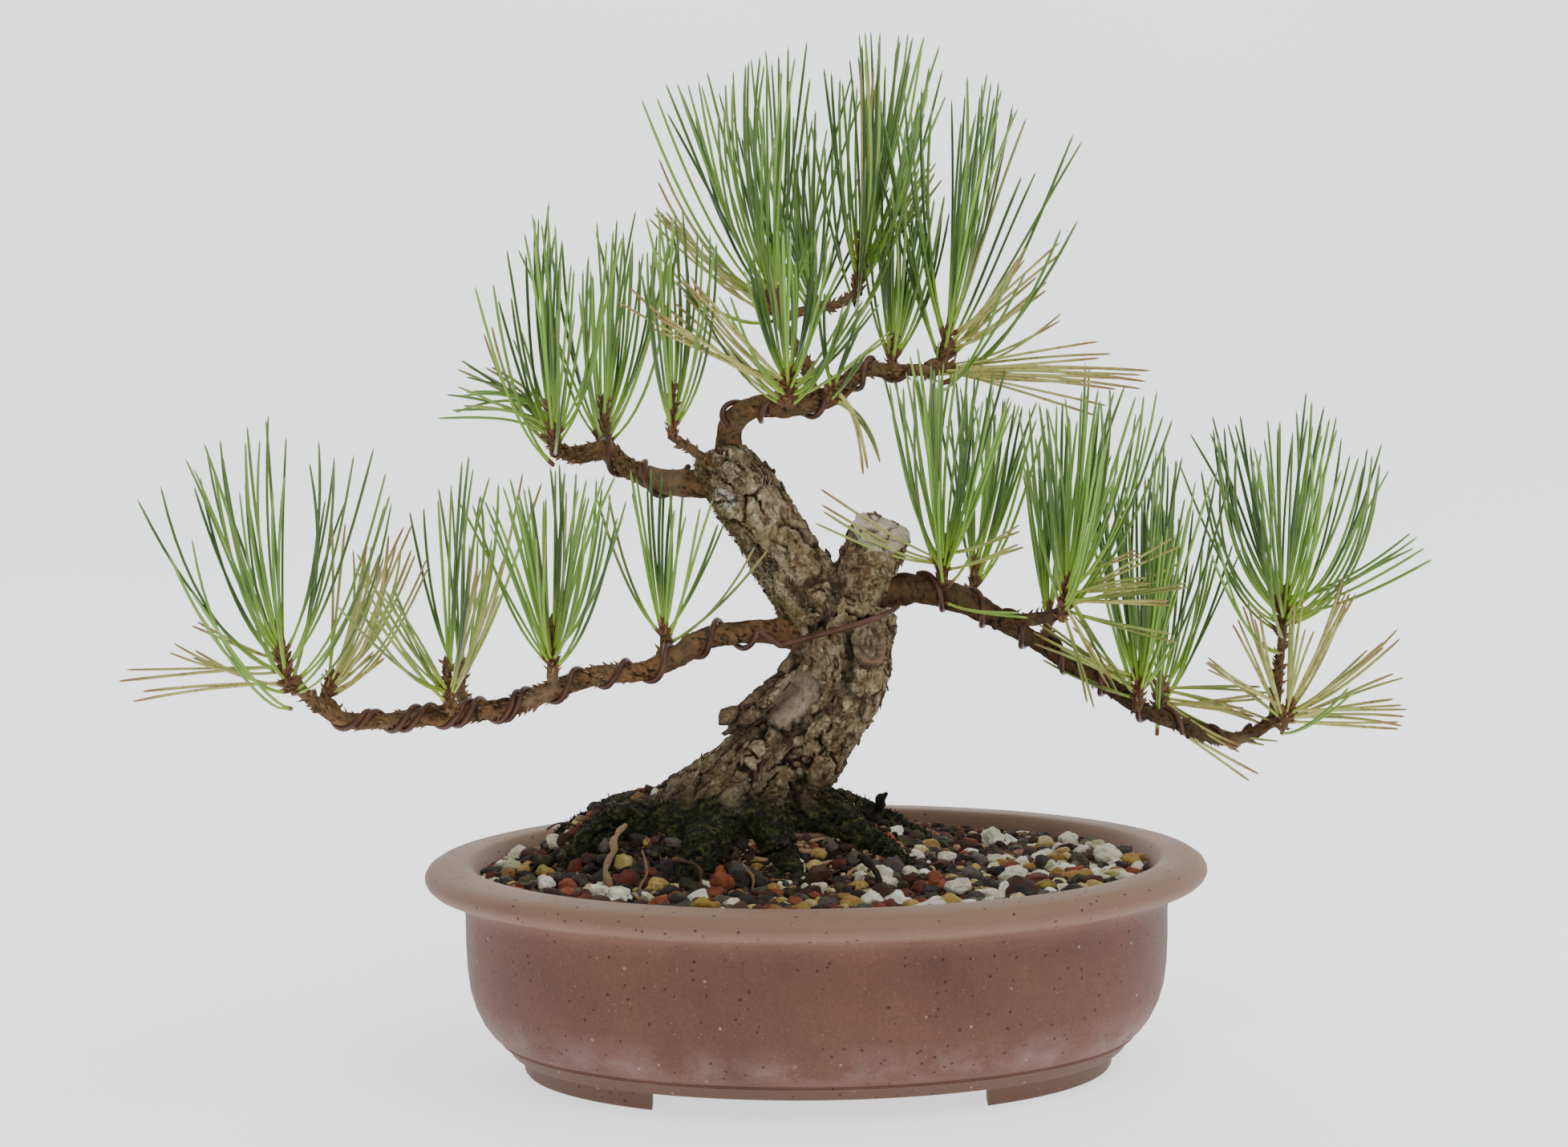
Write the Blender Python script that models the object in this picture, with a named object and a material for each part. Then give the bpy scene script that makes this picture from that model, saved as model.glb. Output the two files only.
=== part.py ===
"""Pine bonsai in an oval unglazed clay pot.

Metres, +Z up.  The origin is on the ground under the middle of the pot.  -Y is the front.
The pot, what lies in it and the tree are separate solids that rest on or in each other
with a gap of PLAY between them.
"""

import math

import bmesh
import bpy
import numpy as np
from mathutils import Matrix, Vector

MM = 0.001

# ---- pot ---------------------------------------------------------------------------------
POT_LENGTH = 330 * MM        # outside of the lip, along X
POT_DEPTH = 258 * MM         # outside of the lip, along Y
POT_HEIGHT = 90 * MM
LIP_WIDTH = 20 * MM          # from the outside of the lip to the mouth
LIP_THICKNESS = 12 * MM
WALL = 9 * MM
FLOOR_THICKNESS = 8 * MM
BASE_INSET = 40 * MM         # how far the foot stands in from the outside of the lip
FOOT_HEIGHT = 8 * MM
FOOT_WIDTH = 13 * MM
FOOT_GAP = 136 * MM          # between the two C-shaped feet, at the front and the back
DRAIN_DIAMETER = 24 * MM
DRAIN_SPACING = 120 * MM
WIRING_HOLE_DIAMETER = 6 * MM
WIRING_HOLE_SPACING = 36 * MM
POT_SIDES = 40

# ---- what lies in the pot ----------------------------------------------------------------
PLAY = 0.35 * MM             # gap between pieces that touch
SOIL_BELOW_RIM = 8 * MM
MOUND_HEIGHT = 41 * MM
MOUND_CENTRE = (-25 * MM, 12 * MM)
MOUND_SPREAD_LEFT = 62 * MM
MOUND_SPREAD_RIGHT = 40 * MM
MOUND_SPREAD_FRONT = 25 * MM
MOUND_SPREAD_BACK = 30 * MM
MESH_SIDE = 36 * MM          # square of plastic net over each drain hole
MESH_BAR = 2 * MM
MESH_CELLS = 3
CLIP_WIRE = 1.5 * MM
ANCHOR_WIRE = 2 * MM
MOSS_THICKNESS = 3 * MM

# ---- tree --------------------------------------------------------------------------------
TREE_SCALE = 1.0             # of every point of the trunk and branches, from the root crown
GIRTH = 1.0                  # of the trunk's and branches' radii
NEEDLE_LENGTH = 96 * MM
NEEDLE_RADIUS = 0.75 * MM
NEEDLE_CLEARANCE = 0.5 * MM
BUD_RADIUS = 3.6 * MM
TRAINING_WIRE = 2.5 * MM
WIRE_PITCH = 21 * MM

ROOT_CROWN = Vector((-46, 6, 98)) * MM      # the tree's own reference point at the first sizes
CROWN_ABOVE_RIM = 8 * MM


# ---- helpers -----------------------------------------------------------------------------
def clear_scene():
    for item in list(bpy.data.objects):
        bpy.data.objects.remove(item, do_unlink=True)


def collection(name):
    made = bpy.data.collections.new(name)
    bpy.context.scene.collection.children.link(made)
    return made


def material(name, colour, roughness, metallic=0.0):
    made = bpy.data.materials.new(name)
    made.use_nodes = True
    shader = made.node_tree.nodes["Principled BSDF"]
    shader.inputs["Base Color"].default_value = (*colour, 1.0)
    shader.inputs["Roughness"].default_value = roughness
    shader.inputs["Metallic"].default_value = metallic
    return made


def place(name, data, look, cutter=False):
    """Puts a mesh or a curve in the scene as the object `name`."""
    obj = bpy.data.objects.new(name, data)
    (CUTTERS if cutter else BONSAI).objects.link(obj)
    if cutter:
        obj.hide_render = True
        obj.display_type = "WIRE"
    if look is not None:
        data.materials.append(look)
    return obj


def mesh_of(bm, name):
    bmesh.ops.triangulate(bm, faces=bm.faces)
    bmesh.ops.recalc_face_normals(bm, faces=bm.faces)
    mesh = bpy.data.meshes.new(name)
    bm.to_mesh(mesh)
    bm.free()
    return mesh


def loft(rings, name):
    """A closed mesh through rings of the same number of points, with a flat cap at each end."""
    bm = bmesh.new()
    made = [[bm.verts.new(p) for p in ring] for ring in rings]
    for lower, upper in zip(made, made[1:]):
        for i in range(len(lower)):
            j = (i + 1) % len(lower)
            bm.faces.new((lower[i], lower[j], upper[j], upper[i]))
    bm.faces.new(list(reversed(made[0])))
    bm.faces.new(made[-1])
    return mesh_of(bm, name)


def shade(obj, angle=35):
    obj.data.shade_smooth()
    obj.data.set_sharp_from_angle(angle=math.radians(angle))


def smooth_path(points, step):
    """A Catmull-Rom curve through the points, sampled about every `step`."""
    p = [np.array(q, float) for q in points]
    p = [2 * p[0] - p[1], *p, 2 * p[-1] - p[-2]]
    out = []
    for a, b, c, d in zip(p, p[1:], p[2:], p[3:]):
        count = max(1, round(np.linalg.norm((c - b)[:3]) / step))
        for k in range(count):
            t = k / count
            out.append(0.5 * (2 * b + (c - a) * t + (2 * a - 5 * b + 4 * c - d) * t**2
                              + (3 * b - a - 3 * c + d) * t**3))
    out.append(p[-2])
    return out


def tube(name, path, radii, look, cutter=False, resolution=2):
    """A round rod along a path, as a mesh with welded caps."""
    curve = bpy.data.curves.new(name, "CURVE")
    curve.dimensions = "3D"
    curve.bevel_depth = 1.0
    curve.bevel_resolution = resolution
    curve.use_fill_caps = True
    spline = curve.splines.new("POLY")
    spline.points.add(len(path) - 1)
    for point, place_at, radius in zip(spline.points, path, radii):
        point.co = (*place_at[:3], 1.0)
        point.radius = radius
    guide = bpy.data.objects.new(name + "_line", curve)
    BONSAI.objects.link(guide)
    graph = bpy.context.evaluated_depsgraph_get()
    mesh = bpy.data.meshes.new_from_object(guide.evaluated_get(graph))
    bpy.data.objects.remove(guide, do_unlink=True)
    bm = bmesh.new()
    bm.from_mesh(mesh)
    bmesh.ops.remove_doubles(bm, verts=bm.verts, dist=0.01 * MM)
    made = mesh_of(bm, name)
    made.name = name
    return place(name, made, look, cutter)


def boolean(obj, other, operation):
    change = obj.modifiers.new(operation.title() + "_" + other.name, "BOOLEAN")
    change.operation = operation
    change.object = other
    change.solver = "EXACT"


def box_cutter(name, low, high):
    bm = bmesh.new()
    bmesh.ops.create_cube(bm, size=1.0)
    size = Vector(high) - Vector(low)
    bmesh.ops.scale(bm, vec=size, verts=bm.verts)
    bmesh.ops.translate(bm, vec=Vector(low) + size / 2, verts=bm.verts)
    return place(name, mesh_of(bm, name), None, cutter=True)


def cylinder_cutter(name, centre, radius, low, high, sides=24):
    bm = bmesh.new()
    bmesh.ops.create_cone(bm, cap_ends=True, segments=sides, radius1=radius, radius2=radius,
                          depth=high - low)
    bmesh.ops.translate(bm, vec=(*centre, (low + high) / 2), verts=bm.verts)
    return place(name, mesh_of(bm, name), None, cutter=True)


class Room:
    """What is already in the air around the tree, as beads along every rod."""

    STEP = 1.5 * MM

    def __init__(self):
        self.points = np.zeros((0, 3))
        self.radii = np.zeros(0)
        self.owners = np.zeros(0, int)

    def beads(self, path, radii):
        points, sizes = [], []
        for a, b, ra, rb in zip(path, path[1:], radii, radii[1:]):
            a, b = np.array(a[:3]), np.array(b[:3])
            count = max(1, math.ceil(np.linalg.norm(b - a) / self.STEP))
            t = np.arange(count)[:, None] / count
            points.append(a + (b - a) * t)
            sizes.append(ra + (rb - ra) * t[:, 0])
        points.append(np.array([path[-1][:3]]))
        sizes.append(np.array([radii[-1]]))
        return np.concatenate(points), np.concatenate(sizes)

    def add(self, path, radii, owner=0):
        points, sizes = self.beads(path, radii)
        self.points = np.concatenate([self.points, points])
        self.radii = np.concatenate([self.radii, sizes])
        self.owners = np.concatenate([self.owners, np.full(len(sizes), owner)])

    def clearance(self, path, radii, owner=-1):
        """The smallest gap between this rod and what is there, its owner's own rods left out."""
        points, sizes = self.beads(path, radii)
        low, high = points.min(0) - 12 * MM, points.max(0) + 12 * MM
        near = ((self.points > low) & (self.points < high)).all(1) & (self.owners != owner)
        if not near.any():
            return 12 * MM
        apart = np.linalg.norm(points[:, None] - self.points[near][None], axis=2)
        return (apart - sizes[:, None] - self.radii[near][None]).min()


# ---- pot ---------------------------------------------------------------------------------
def oval(inset, z, sides=POT_SIDES):
    """A ring of the pot's oval, `inset` inwards from the outside of the lip."""
    a, b = POT_LENGTH / 2 - inset, POT_DEPTH / 2 - inset
    turns = [2 * math.pi * i / sides for i in range(sides)]
    return [(a * math.cos(t), b * math.sin(t), z) for t in turns]


FLOOR_TOP = FOOT_HEIGHT + 1.5 * MM + FLOOR_THICKNESS
MOUTH_INSET = LIP_WIDTH
WALL_INSET = LIP_WIDTH - 3 * MM      # outside of the wall under the lip
CAVITY_INSET = WALL_INSET + WALL


def cavity_profile(inward=0.0):
    """(inset, height) down the inside of the pot, `inward` clear of the clay."""
    return [
        (CAVITY_INSET + inward, POT_HEIGHT - 8 * MM),
        (CAVITY_INSET + 0.5 * MM + inward, POT_HEIGHT * 0.5),
        (CAVITY_INSET + 4 * MM + inward, FLOOR_TOP + 12 * MM),
        (CAVITY_INSET + 14 * MM + inward, FLOOR_TOP + inward),
    ]


def make_pot():
    underside = POT_HEIGHT - LIP_THICKNESS
    ring_inset = BASE_INSET - 7 * MM
    outside = [
        (LIP_WIDTH - 2 * MM, POT_HEIGHT),
        (5 * MM, POT_HEIGHT - 0.8 * MM),
        (1.2 * MM, POT_HEIGHT - 3 * MM),
        (0, POT_HEIGHT - 0.5 * LIP_THICKNESS),
        (1.8 * MM, underside + 2.5 * MM),
        (6 * MM, underside + 0.5 * MM),
        (WALL_INSET - 3 * MM, underside - 1.5 * MM),
        (WALL_INSET, underside - 7 * MM),
        (WALL_INSET + 0.5 * MM, POT_HEIGHT * 0.5),
        (WALL_INSET + 3 * MM, POT_HEIGHT * 0.33),
        (WALL_INSET + 8 * MM, POT_HEIGHT * 0.21),
        (ring_inset - 3 * MM, FOOT_HEIGHT + 6.5 * MM),
        (ring_inset - 1 * MM, FOOT_HEIGHT + 5.5 * MM),
        (ring_inset + 2 * MM, FOOT_HEIGHT + 0.5 * MM),
        (BASE_INSET - 2 * MM, FOOT_HEIGHT),
        (BASE_INSET, 0),
        (BASE_INSET + FOOT_WIDTH, 0),
        (BASE_INSET + FOOT_WIDTH + 1 * MM, FLOOR_TOP - FLOOR_THICKNESS),
    ]
    inside = [*reversed(cavity_profile()), (MOUTH_INSET + 1.5 * MM, POT_HEIGHT - 4 * MM),
              (MOUTH_INSET, POT_HEIGHT - 1.2 * MM)]
    rings = [oval(inset, z) for inset, z in outside]
    bm = bmesh.new()
    made = [[bm.verts.new(p) for p in ring] for ring in [*rings, *(oval(*s) for s in inside)]]
    last_outside = len(outside) - 1
    for k, (one, two) in enumerate(zip(made, [*made[1:], made[0]])):
        if k == last_outside:
            continue
        for i in range(POT_SIDES):
            j = (i + 1) % POT_SIDES
            bm.faces.new((one[i], one[j], two[j], two[i]))
    bm.faces.new(made[last_outside])
    bm.faces.new(made[last_outside + 1])
    pot = place("pot", mesh_of(bm, "pot"), CLAY)
    boolean(pot, box_cutter("foot_slot", (-FOOT_GAP / 2, -POT_DEPTH, -POT_HEIGHT),
                            (FOOT_GAP / 2, POT_DEPTH, FOOT_HEIGHT)), "DIFFERENCE")
    for side, x in (("left", -DRAIN_SPACING / 2), ("right", DRAIN_SPACING / 2)):
        boolean(pot, cylinder_cutter("drain_" + side, (x, 0), DRAIN_DIAMETER / 2, 0,
                                     FLOOR_TOP + WALL), "DIFFERENCE")
    for side, x in (("left", -WIRING_HOLE_SPACING / 2), ("right", WIRING_HOLE_SPACING / 2)):
        boolean(pot, cylinder_cutter("wiring_" + side, (x, 0), WIRING_HOLE_DIAMETER / 2, 0,
                                     FLOOR_TOP + WALL, sides=12), "DIFFERENCE")
    shade(pot)


# ---- drainage ----------------------------------------------------------------------------
NET_BOTTOM = FLOOR_TOP + PLAY
NET_TOP = NET_BOTTOM + MESH_BAR
CLIP_TOP = NET_TOP + PLAY + CLIP_WIRE


def make_drainage():
    """A square of net over each drain hole, and the wire clip that holds it down."""
    hole = (MESH_SIDE - (MESH_CELLS + 1) * MESH_BAR) / MESH_CELLS
    for side, x in (("left", -DRAIN_SPACING / 2), ("right", DRAIN_SPACING / 2)):
        bm = bmesh.new()
        bmesh.ops.create_cube(bm, size=1.0)
        bmesh.ops.scale(bm, vec=(MESH_SIDE, MESH_SIDE, MESH_BAR), verts=bm.verts)
        bmesh.ops.translate(bm, vec=(x, 0, NET_BOTTOM + MESH_BAR / 2), verts=bm.verts)
        net = place("drain_net_" + side, mesh_of(bm, "drain_net_" + side), PLASTIC)
        for i in range(MESH_CELLS):
            for j in range(MESH_CELLS):
                low_x = x - MESH_SIDE / 2 + MESH_BAR + i * (hole + MESH_BAR)
                low_y = -MESH_SIDE / 2 + MESH_BAR + j * (hole + MESH_BAR)
                boolean(net, box_cutter(f"cell_{side}_{i}{j}", (low_x, low_y, 0),
                                        (low_x + hole, low_y + hole, POT_HEIGHT)), "DIFFERENCE")
        leg = hole / 2 - CLIP_WIRE / 2 - PLAY
        top = NET_TOP + PLAY + CLIP_WIRE / 2
        under = FLOOR_TOP - FLOOR_THICKNESS - PLAY - CLIP_WIRE / 2
        out = DRAIN_DIAMETER / 2 + 5 * MM
        leg_x = hole / 2 + MESH_BAR + CLIP_WIRE / 2 + PLAY
        route = [(x - out, 0, under), (x - leg_x, 0, under), (x - leg_x, 0, top),
                 (x + leg_x, 0, top), (x + leg_x, 0, under), (x + out, 0, under)]
        tube("net_clip_" + side, route, [CLIP_WIRE / 2] * len(route), COPPER)


# ---- soil --------------------------------------------------------------------------------
SOIL_LEVEL = POT_HEIGHT - SOIL_BELOW_RIM


def soil_surface(x, y):
    """The height of the soil at a point: flat at the rim, with a mound under the tree."""
    dx, dy = x - MOUND_CENTRE[0], y - MOUND_CENTRE[1]
    sx = MOUND_SPREAD_LEFT if dx < 0 else MOUND_SPREAD_RIGHT
    sy = MOUND_SPREAD_FRONT if dy < 0 else MOUND_SPREAD_BACK
    return SOIL_LEVEL + MOUND_HEIGHT * math.exp(-0.5 * ((dx / sx) ** 2 + (dy / sy) ** 2))


def anchor_route():
    """The wire that ties the root ball down: up through one hole, over a root, down the other."""
    under = FLOOR_TOP - FLOOR_THICKNESS - PLAY - ANCHOR_WIRE / 2
    x = WIRING_HOLE_SPACING / 2
    top = SOIL_LEVEL - 24 * MM
    hook = 10 * MM
    return [(-x - hook, 0, top), (-x, 0, top - 3 * MM), (-x, 0, under), (x, 0, under),
            (x, 0, top - 3 * MM), (x + hook, 0, top)]


def make_soil():
    sides, rings_in = 40, 9
    wall = [oval(inset, z, sides) for inset, z in cavity_profile(PLAY)]
    rim_inset = cavity_profile(PLAY)[0][0]
    # the floor stays clear of the clay: the lowest ring is the last of the cavity's profile
    rings = [*reversed(wall)]
    rings[0] = oval(CAVITY_INSET + 14 * MM + PLAY, FLOOR_TOP + PLAY, sides)
    for k in range(rings_in):
        share = 1 - k / rings_in
        ring = []
        for x, y, _ in oval(rim_inset, 0, sides):
            px, py = x * share, y * share
            centre_pull = 1 - share
            px += MOUND_CENTRE[0] * centre_pull
            py += MOUND_CENTRE[1] * centre_pull
            ring.append((px, py, soil_surface(px, py)))
        rings.append(ring)
    soil = place("soil_mix", loft(rings, "soil_mix"), SOIL)
    for side, x in (("left", -DRAIN_SPACING / 2), ("right", DRAIN_SPACING / 2)):
        half = MESH_SIDE / 2 + PLAY
        room = CLIP_TOP + PLAY
        boolean(soil, box_cutter("net_room_" + side, (x - half, -half, 0), (x + half, half, room)),
                "DIFFERENCE")
    route = anchor_route()
    room_radius = ANCHOR_WIRE / 2 + PLAY
    for side, part in (("left", route[:3]), ("right", list(reversed(route[3:])))):
        end = Vector(part[0]) + (Vector(part[0]) - Vector(part[1])).normalized() * PLAY
        boolean(soil, tube("anchor_room_" + side, [end, *part[1:]], [room_radius] * 3, None,
                           cutter=True), "DIFFERENCE")
    boolean(soil, wood_room(), "DIFFERENCE")
    tube("anchor_wire", route, [ANCHOR_WIRE / 2] * len(route), COPPER)


# ---- trunk -------------------------------------------------------------------------------
# Each point is x, y, z and radius in millimetres, at TREE_SCALE and GIRTH of 1.
TRUNK = [(-49, 7, 76, 42), (-47, 7, 92, 34), (-39, 5, 106, 27), (-28, 4, 116, 24),
         (-15, 3, 129, 22), (-2, 2, 146, 19), (9, 1, 160, 20.5), (14, 0, 173, 22),
         (11, 0, 187, 20), (-2, 0, 203.5, 15), (-15, 0, 223.5, 14.7), (-28, 0, 244, 14),
         (-37, 0, 257, 11.5), (-39.5, 0, 262, 9)]
STUB = [(12, 0, 188, 12), (22, 2, 208, 13), (29, 4, 228, 12.5)]
ROOTS = {
    "front_left": [(-50, 2, 102, 14), (-78, -6, 104, 9), (-97, -13, 94, 6), (-108, -18, 74, 3)],
    "left": [(-52, 12, 102, 14), (-82, 19, 103, 9), (-106, 27, 91, 5.5), (-117, 31, 74, 3)],
    "front": [(-40, -8, 100, 13), (-46, -30, 92, 7.5), (-53, -44, 78, 4.5), (-57, -50, 67, 2.5)],
    "right": [(-20, -2, 108, 12), (8, -8, 105, 7.5), (28, -13, 93, 5.5), (42, -17, 82, 4),
              (51, -19, 72, 3)],
    "back_right": [(-24, 8, 106, 13), (8, 17, 105, 8), (34, 24, 94, 6), (54, 30, 82, 4),
                   (64, 33, 72, 3)],
    "back": [(-42, 16, 104, 13), (-46, 40, 96, 8), (-50, 56, 83, 5), (-53, 63, 71, 3)],
}


def grown(points):
    """The points at this tree's size, stood on the root crown, with their radii."""
    crown = ROOT_CROWN
    base = Vector((crown.x, crown.y, POT_HEIGHT + CROWN_ABOVE_RIM))
    out = []
    for x, y, z, r in points:
        at = base + (Vector((x, y, z)) * MM - crown) * TREE_SCALE
        out.append((*at, r * MM * GIRTH))
    return out


def kept_in_pot(points):
    """A root's points, drawn in where the wall of the pot stops it."""
    out = []
    for x, y, z, r in points:
        room = CAVITY_INSET + 12 * MM + r
        reach = math.hypot(x / (POT_LENGTH / 2 - room), y / (POT_DEPTH / 2 - room))
        pull = 1 / max(1.0, reach)
        out.append((x * pull, y * pull, z, r))
    return out


def rod(name, points, look, more=0.0, cutter=False, step=9 * MM, resolution=2):
    """A tapered rod along the points; `more` makes it that much fatter and longer."""
    path = smooth_path(points, step)
    ends = [np.array(path[0][:3]), np.array(path[-1][:3])]
    ahead = [ends[0] - path[1][:3], ends[1] - path[-2][:3]]
    first, last = (e + more * a / np.linalg.norm(a) for e, a in zip(ends, ahead))
    line = [first, *(p[:3] for p in path[1:-1]), last]
    radii = [p[3] + more for p in path]
    return tube(name, line, radii, look, cutter, resolution)


def make_wood_solids(prefix, more=0.0, cutter=True):
    """The trunk, the sawn stub and the surface roots, each a closed rod that runs into the next."""
    trunk = rod(prefix + "trunk", grown(TRUNK), WOOD if not cutter else None, more, cutter,
                step=12 * MM, resolution=4)
    made = [trunk]
    made.append(rod(prefix + "stub", grown(STUB), None, more, True, resolution=3))
    for name, points in ROOTS.items():
        made.append(rod(prefix + "root_" + name, kept_in_pot(grown(points)), None, more, True,
                        step=14 * MM))
    return made


def make_trunk():
    trunk, *others = make_wood_solids("", cutter=False)
    for other in others:
        boolean(trunk, other, "UNION")
    shade(trunk, 60)


def wood_room():
    """The space the trunk and its roots take in the soil and the moss, PLAY clear of them."""
    made = bpy.data.objects.get("room_trunk")
    if made is None:
        made, *others = make_wood_solids("room_", PLAY)
        for other in others:
            boolean(made, other, "UNION")
    return made


# ---- branches ----------------------------------------------------------------------------
# The first point of each lies on the trunk's skin or on the parent branch's.
BRANCHES = {
    "branch_left_low": [(4, -3, 182, 6), (-12, -8, 186, 5.8), (-28, -13, 187, 5.4), (-45, -18, 185, 5.2),
                        (-57, -22, 178, 4.7), (-71, -26, 173, 4.2), (-89, -30, 172, 4),
                        (-107, -34, 167, 4.1), (-123, -38, 161, 4.1), (-143, -42, 159, 3.9),
                        (-162, -46, 158, 3.6), (-183, -50, 157, 3.2), (-195, -52, 160, 2.9),
                        (-205, -54, 168, 2.6)],
    "branch_left_middle": [(-30, 0, 250, 6), (-46, 3, 248, 5.6), (-64, 8, 249, 5), (-78, 14, 255, 4.4),
                           (-87, 18, 261, 4.1), (-99, 22, 259, 3.5), (-107, 24, 261, 3)],
    "twig_left_upper": [(-33, -2, 250, 2.4), (-42, -8, 257, 2.2), (-50, -13, 264, 2.1), (-57, -17, 269, 1.8)],
    "branch_apex": [(-34, 0, 258, 5.8), (-34, 0, 267, 5.7), (-32, 0, 274, 5.6), (-23, -3, 280, 5.3),
                    (-8, -8, 281, 5), (8, -6, 284, 5), (16, -4, 290, 4.5), (22, -2, 295, 3.7),
                    (34, 2, 294, 3.1), (47, 6, 294, 2.8)],
    "branch_apex_back": [(2, -6, 283, 2.8), (0, 2, 289, 2.8), (-1, 9, 296, 2.7), (-6, 15, 305, 2.4),
                         (-10, 19, 315, 2.2), (0, 24, 319, 2), (13, 28, 321, 2),
                         (20, 31, 325, 1.9)],
    "branch_right_low": [(22, 1, 202, 6.6), (34, 2, 202, 6.4), (46, 4, 202, 5.7), (62, 8, 197, 5.3),
                         (77, 12, 189, 4.8), (94, 18, 178, 4.2), (110, 22, 167, 3.8),
                         (126, 26, 157, 3.7), (141, 30, 146, 3.6), (156, 34, 139, 3.3),
                         (168, 36, 134, 3), (180, 38, 131, 2.7), (192, 40, 134, 2.5)],
    "twig_right_inner": [(79, 12, 187, 3.2), (85, 7, 188, 3.2), (94, 2, 189, 3), (104, -3, 192, 2.6)],
}


PARENTS = {"branch_apex_back": "branch_apex", "twig_right_inner": "branch_right_low"}


def branch_path(name):
    return smooth_path(grown(BRANCHES[name]), 9 * MM)


def make_branches(room):
    """Each branch, its butt end shaped to the wood it grows from and PLAY clear of it."""
    for name in BRANCHES:
        branch = rod(name, grown(BRANCHES[name]), BARK)
        if name in PARENTS:
            parent = PARENTS[name]
            wood = rod("room_" + name, grown(BRANCHES[parent]), None, PLAY, cutter=True)
        else:
            wood = wood_room()
        boolean(branch, wood, "DIFFERENCE")
        shade(branch, 60)
        path = branch_path(name)
        room.add([p[:3] for p in path], [p[3] for p in path])
        room.branches.add([p[:3] for p in path], [p[3] for p in path])


# ---- training wires ----------------------------------------------------------------------
# Branch, share of its length at which the wire starts and ends, starting angle, and turn.
WIRES = {
    "training_wire_left_low": ("branch_left_low", 0.13, 0.90, 170, 1),
    "training_wire_left_tip": ("branch_left_low", 0.58, 0.94, 20, 1),
    "training_wire_left_middle": ("branch_left_middle", 0.26, 0.80, 90, -1),
    "training_wire_apex": ("branch_apex", 0.16, 0.95, 0, 1),
    "training_wire_right_low": ("branch_right_low", 0.15, 0.82, 120, -1),
    "training_wire_right_tip": ("branch_right_low", 0.84, 0.98, 240, -1),
}
LEAD = ("training_wire_left_low", 0.625, 0.60, 20, 118)   # shares of the trunk, and angles


def along(path, share):
    """Position, direction and radius at a share of a path's length."""
    points = np.array([p[:3] for p in path])
    steps = np.linalg.norm(np.diff(points, axis=0), axis=1)
    at = np.concatenate([[0], np.cumsum(steps)])
    s = share * at[-1]
    k = min(int(np.searchsorted(at, s, side="right")) - 1, len(steps) - 1)
    t = (s - at[k]) / steps[k]
    here = points[k] + (points[k + 1] - points[k]) * t
    ahead = points[min(k + 2, len(points) - 1)] - points[max(k - 1, 0)]
    radius = path[k][3] + (path[k + 1][3] - path[k][3]) * t
    return here, ahead / np.linalg.norm(ahead), radius


def round_about(path, share, angle, reach_more=0.0, reference=(0, 0, 1.0)):
    """A point where a wire lies on a rod's skin, at an angle round it."""
    here, ahead, radius = along(path, share)
    side = np.cross(ahead, reference)
    side /= np.linalg.norm(side)
    up = np.cross(side, ahead)
    reach = radius / math.cos(math.pi / 8) + TRAINING_WIRE / 2 + 2 * PLAY + reach_more
    return here + reach * (math.cos(angle) * side + math.sin(angle) * up)


def helix(path, start, end, angle, turn):
    """A wire wound round a branch, from one share of its length to another."""
    length = sum(math.dist(a[:3], b[:3]) for a, b in zip(path, path[1:])) * (end - start)
    steps_per_turn = 8
    count = max(8, round(length / WIRE_PITCH * steps_per_turn))
    return [round_about(path, start + (end - start) * k / count,
                        math.radians(angle) + turn * 2 * math.pi * k / steps_per_turn)
            for k in range(count + 1)]


def lead_in(room):
    """The wire's way round the front of the trunk to its branch, clear of trunk and stub."""
    _, start, end, first, last = LEAD
    trunk = smooth_path(grown(TRUNK), 9 * MM)
    out, count = [], 7
    for k in range(count + 1):
        share = start + (end - start) * k / count
        angle = math.radians(first + (last - first) * k / count)
        more = 0.0
        while True:
            at = round_about(trunk, share, angle, more, reference=(0, -1.0, 0))
            if room.wood.clearance([at, at], [TRAINING_WIRE / 2] * 2) > 2 * PLAY:
                break
            more += 0.4 * MM
        out.append(at)
    return out


def make_wires(room):
    for name, (branch, start, end, angle, turn) in WIRES.items():
        path = branch_path(branch)
        lead = lead_in(room) if name == LEAD[0] else []
        for nudge in range(0, 360, 15):
            line = [*lead, *helix(path, start, end, angle + nudge, turn)]
            if wires_clear(line, room):
                break
        tube(name, line, [TRAINING_WIRE / 2] * len(line), COPPER, resolution=1)
        room.wires.append(line)


def wires_clear(line, room):
    """Whether a wire passes the trunk, the other branches and the wires laid before it."""
    radii = [TRAINING_WIRE / 2] * len(line)
    if room.wood.clearance(line, radii) < PLAY:
        return False
    for other in room.wires:
        laid = Room()
        laid.add(other, radii[:1] * len(other))
        if laid.clearance(line, radii) < PLAY:
            return False
    return True


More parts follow.
